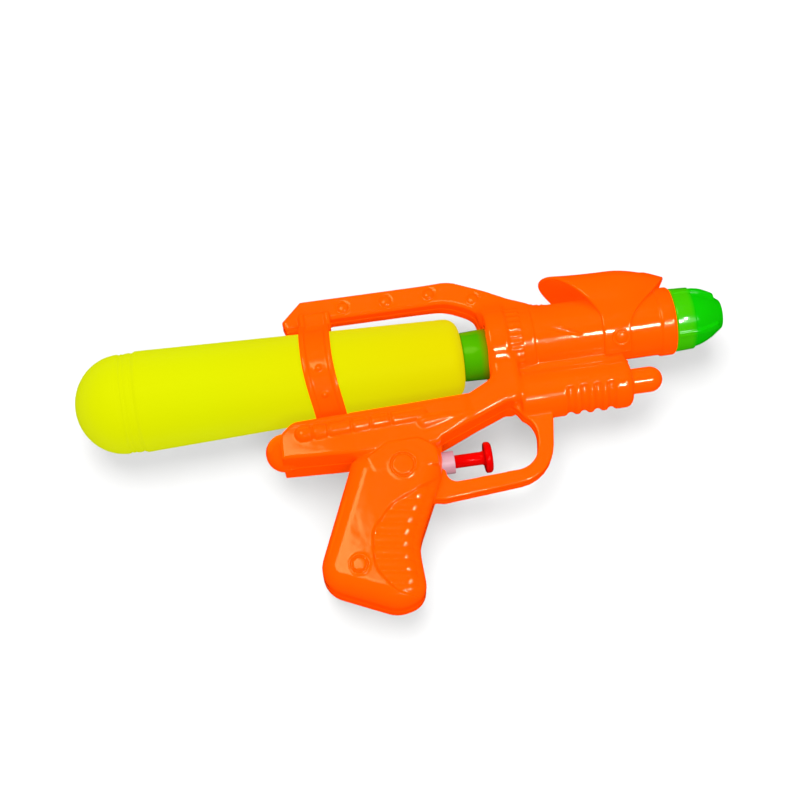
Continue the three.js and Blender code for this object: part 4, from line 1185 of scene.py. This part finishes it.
def tip_radius(x):
    share = (x - TIP_X - TIP_STEP) / (TIP_LENGTH - TIP_STEP)
    return TIP_RADIUS - TIP_INSET + (TIP_FLAT - TIP_RADIUS + TIP_INSET) * max(share, 0.0) ** TIP_BULGE


def make_tip(finish):
    """Tip: a base ring, a rounded cone a little smaller than it, four ribs along both and a small orifice"""
    step, end = TIP_X + TIP_STEP, TIP_X + TIP_LENGTH
    plug = BARREL_LENGTH - MUZZLE_COLLAR
    cone = [(x, tip_radius(x)) for x in np.linspace(step + 0.3, end - TIP_NOSE, TIP_CONE_STEPS)]
    outside = rounded([
        (plug, 11), (plug, TIP_PLUG_RADIUS, 0.4), (TIP_X, TIP_PLUG_RADIUS), (TIP_X, TIP_RADIUS, 0.6),
        (step - 0.2, TIP_RADIUS - 0.4, 0.5), (step + 0.1, tip_radius(step), 0.2), cone[0],
    ], 5)
    nose = rounded([cone[-1], (end, tip_radius(end - 0.2), TIP_NOSE), (end, TIP_ORIFICE)], 6)
    web = end - TIP_WEB
    cup = web - TIP_CUP
    inside = [(web, TIP_ORIFICE), (web, 2.9), (cup, 2.9), (cup, 8.3), (step, 10.4), (plug, 10.8)]
    points, faces = revolve([*outside[1:], *cone[1:-1], *nose, *inside, outside[1]], BARREL_RISE, TIP_SIDES)
    raise_ribs(points, step, end - TIP_RIB_END)
    tip = piece("nozzle", points, faces, finish, "green_plastic", "body")
    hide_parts("nozzle_tip")


def raise_ribs(points, step, stop):
    """Lifts the tip's outer points into four ribs that follow the cone and stop short of the nose"""
    x, y, z = points[:, 0], points[:, 1] - BARREL_RISE, points[:, 2]
    radius = np.hypot(y, z)
    cone_radius = np.array([tip_radius(place) for place in x])
    outer = (x > TIP_X + TIP_SKIN) & (radius > cone_radius - TIP_SKIN)
    start_crest, stop_crest = TIP_RADIUS + TIP_RIB_LIP, tip_radius(stop) + TIP_RIB_RISE
    share = np.clip((x - step) / (stop - step), 0, 1) ** TIP_BULGE
    rise = np.maximum(start_crest + (stop_crest - start_crest) * share - radius, 0)
    quarter = math.pi / 2
    turn = np.arctan2(z, y) - math.radians(TIP_RIB_TURN)
    off = np.abs((turn + quarter / 2) % quarter - quarter / 2) * radius
    crest = np.clip((TIP_RIB_FOOT / 2 - off) / TIP_RIB_FLANK, 0, 1)
    fade = np.clip((stop + TIP_SKIN - x) / TIP_RIB_FLANK, 0, 1)
    scale = 1 + np.where(outer, rise * crest * fade, 0) / np.maximum(radius, 1e-6)
    points[:, 1] = BARREL_RISE + y * scale
    points[:, 2] = z * scale


def make_trigger(finish):
    """Push trigger: a piston with a groove for its seal, a stem and a round head"""
    groove, land, stem = (PISTON_REAR + PISTON_LAND * k for k in (1, 2, 3))
    profile = soft_profile([
        (PISTON_REAR, 0), (PISTON_REAR, PISTON_RADIUS, 0.3), (groove, PISTON_RADIUS), (groove, SEAL_GROOVE),
        (land, SEAL_GROOVE), (land, PISTON_RADIUS), (stem, PISTON_RADIUS, 0.3), (stem, STEM_RADIUS),
        (HEAD_X, STEM_RADIUS, 1.6), (HEAD_X, HEAD_RADIUS, 1.0), (HEAD_X + HEAD_SIDE, HEAD_RADIUS, 1.6),
        (HEAD_X + HEAD_LENGTH, 0),
    ])
    points, faces = revolve(profile, -PUMP_DROP, sides=96)
    trigger = piece("trigger_button", points, faces, finish, "red_plastic", "trigger")
    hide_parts("trigger_plunger")


def make_spring(finish):
    """Return spring: one wire, closer at its ends, whose turns are even when the trigger is pressed home"""
    low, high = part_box("return_spring")
    to_gun = GUN.inverted()
    half_wire = SPRING_WIRE / 2
    start = (to_gun @ Vector(low)).x + half_wire
    end = (to_gun @ Vector(high)).x - half_wire
    length = end - start
    share = np.linspace(0, 1, SPRING_TURNS * SPRING_STEPS + 1)
    pressed = length * share - TRIGGER_TRAVEL * ramp(share)
    turn = 2 * math.pi * SPRING_TURNS * pressed / (length - TRIGGER_TRAVEL)
    out = np.stack([np.zeros_like(turn), np.cos(turn), np.sin(turn)], axis=1)
    middle = np.array((0, -PUMP_DROP, 0)) + SPRING_RADIUS * out
    middle[:, 0] = start + length * share
    along = np.gradient(middle, axis=0)
    along /= np.linalg.norm(along, axis=1)[:, None]
    across = np.cross(out, along)
    angles = np.linspace(0, 2 * math.pi, SPRING_SIDES, endpoint=False)
    rings = [middle + half_wire * (math.cos(a) * out + math.sin(a) * across) for a in angles]
    points = np.stack(rings, axis=1).reshape(-1, 3)
    spring = piece("pump_spring", points, loft_faces(len(middle), SPRING_SIDES), finish, "steel")
    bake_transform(spring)
    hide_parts("return_spring")


def finish_frame_nodes(finish, *names):
    for name in names:
        target = frame["nodes"][name]
        target.data.materials.clear()
        target.data.materials.append(finish.material)


# Camera, light and floor

def make_camera():
    """The photograph's view: from the right-hand side, a little below the gun's line, rolled eight degrees"""
    rise, turn, roll = (math.radians(angle) for angle in CAMERA_ANGLES)
    ahead = Vector((math.sin(turn), math.cos(turn) * math.sin(rise), -math.cos(turn) * math.cos(rise)))
    level = Vector((math.cos(turn), -math.sin(turn) * math.sin(rise), math.sin(turn) * math.cos(rise)))
    upright = Vector((0, math.cos(rise), math.sin(rise)))
    right = math.cos(roll) * level - math.sin(roll) * upright
    up = right.cross(ahead)
    place = Vector(CAMERA_TARGET) - ahead * CAMERA_DISTANCE
    turn_gun = Matrix.Rotation(ROLL, 3, "X")
    axes = [turn_gun @ axis for axis in (right, up, -ahead)]
    camera = bpy.data.objects.new("camera", bpy.data.cameras.new("camera"))
    camera.matrix_world = Matrix.Translation(GUN @ place) @ Matrix(axes).transposed().to_4x4()
    camera.data.sensor_width = SENSOR_WIDTH
    camera.data.lens = SENSOR_WIDTH * PHOTO_FOCAL / PHOTO_SIZE
    bpy.context.scene.collection.objects.link(camera)
    bpy.context.scene.camera = camera


def make_light(name, place, size, power, lights, aim=(0, 0, 0), colour=(1, 1, 1)):
    """A soft panel. One kind lights the surfaces and another shows in their gloss."""
    data = bpy.data.lights.new(name, "AREA")
    data.shape = "ELLIPSE"
    data.size, data.size_y = size
    data.energy = power
    data.color = colour
    lamp = bpy.data.objects.new(name, data)
    lamp.location = place
    lamp.rotation_euler = (Vector(aim) - Vector(place)).to_track_quat("-Z", "Y").to_euler()
    lamp.visible_glossy = lights == "gloss"
    lamp.visible_diffuse = lights == "surface"
    bpy.context.scene.collection.objects.link(lamp)


def make_lights():
    """Small lamps for the highlights on ring, barrel and tip, a warm panel for the grip, two large fills"""
    make_light("flash_ring", (0.15, -0.59, 0.77), (0.05, 0.12), 1.3, "gloss", aim=(0.15, 0, 0))
    make_light("flash", (0.27, -0.46, 0.77), (0.1, 0.13), 3.4, "gloss", aim=(0.27, 0, 0))
    make_light("flash_tip", (0.37, -0.34, 0.8), (0.07, 0.13), 2.0, "gloss", aim=(0.37, 0, 0))
    make_light("flash_halo", (0.4, -0.5, 0.8), (0.55, 0.28), 1.0, "gloss", aim=(0.4, 0, 0))
    make_light("panel", (-0.41, 0.12, 1.15), (0.8, 0.66), 11.0, "gloss", (-0.41, 0.12, 0), WARM_WHITE)
    make_light("overhead", (-0.1, 0.38, 1.15), (1.2, 1.2), 20.0, "surface")
    make_light("front_fill", (0.1, -0.8, 0.8), (0.8, 0.8), 9.0, "surface")


def make_floor():
    mesh = bpy.data.meshes.new("floor")
    half = FLOOR_HALF
    corners = [(-half, -half, 0), (half, -half, 0), (half, half, 0), (-half, half, 0)]
    mesh.from_pydata(corners, [], [(0, 1, 2, 3)])
    paper = Finish("studio_paper")
    grain = paper.noise(60.0)
    paper.set(Base_Color=paper.mix(grain, PAPER_DARK, PAPER_PALE), Roughness=0.8 + 0.1 * grain)
    mesh.materials.append(paper.material)
    floor = bpy.data.objects.new("floor", mesh)
    floor.visible_glossy = False
    bpy.context.scene.collection.objects.link(floor)


def make_sky():
    """Even white light from all round, kept out of the reflections"""
    world = bpy.data.worlds.new("studio")
    world.use_nodes = True
    background = world.node_tree.nodes["Background"]
    background.inputs["Color"].default_value = (1, 1, 1, 1)
    background.inputs["Strength"].default_value = SKY_STRENGTH
    bpy.context.scene.world = world
    world.cycles_visibility.glossy = False


trigger_red = moulded(
    "trigger_red", (166, 0, 0), (181, 2, 1), gloss=0.12, flow=70.0,
    Specular_IOR_Level=0.15, Specular_Tint=(1.0, 0.2, 0.2, 1.0),
)
sleeve_pink = moulded("sleeve_pink", (150, 104, 114), (163, 119, 128), gloss=0.35, flow=90.0)
natural_white = moulded("natural_white", (226, 226, 220), (240, 240, 236), gloss=0.4, flow=90.0)
hose_vinyl = moulded(
    "hose_vinyl", (205, 216, 220), (226, 234, 236), gloss=0.15, flow=80.0,
    Transmission_Weight=0.4,
)
seal_rubber = moulded("seal_rubber", (28, 28, 28), (46, 46, 46), gloss=0.65, flow=120.0)
plated_steel = moulded("plated_steel", (172, 176, 182), (206, 208, 212), gloss=0.24, flow=160.0, Metallic=1.0)
orange = shell_orange()
make_shells(orange)
make_hood(orange)
make_tank(bottle_yellow())
make_collar(collar_green())
make_tip(nozzle_green())
make_trigger(trigger_red)
make_spring(plated_steel)
finish_frame_nodes(sleeve_pink, "pump_cylinder")
finish_frame_nodes(natural_white, "pump_gland", "inlet_valve", "outlet_valve", "nozzle_jet")
finish_frame_nodes(hose_vinyl, "suction_hose", "delivery_hose", "dip_tube")
finish_frame_nodes(seal_rubber, "tank_seal", "piston_seal", "nozzle_seal")
screws = [f"shell_screw_{number}" for number in range(1, len(SCREW_PLACES) + 1)]
finish_frame_nodes(plated_steel, "inlet_ball", "outlet_ball", *screws)
make_camera()
make_floor()
make_sky()
make_lights()
bpy.context.scene.view_settings.view_transform = "Standard"
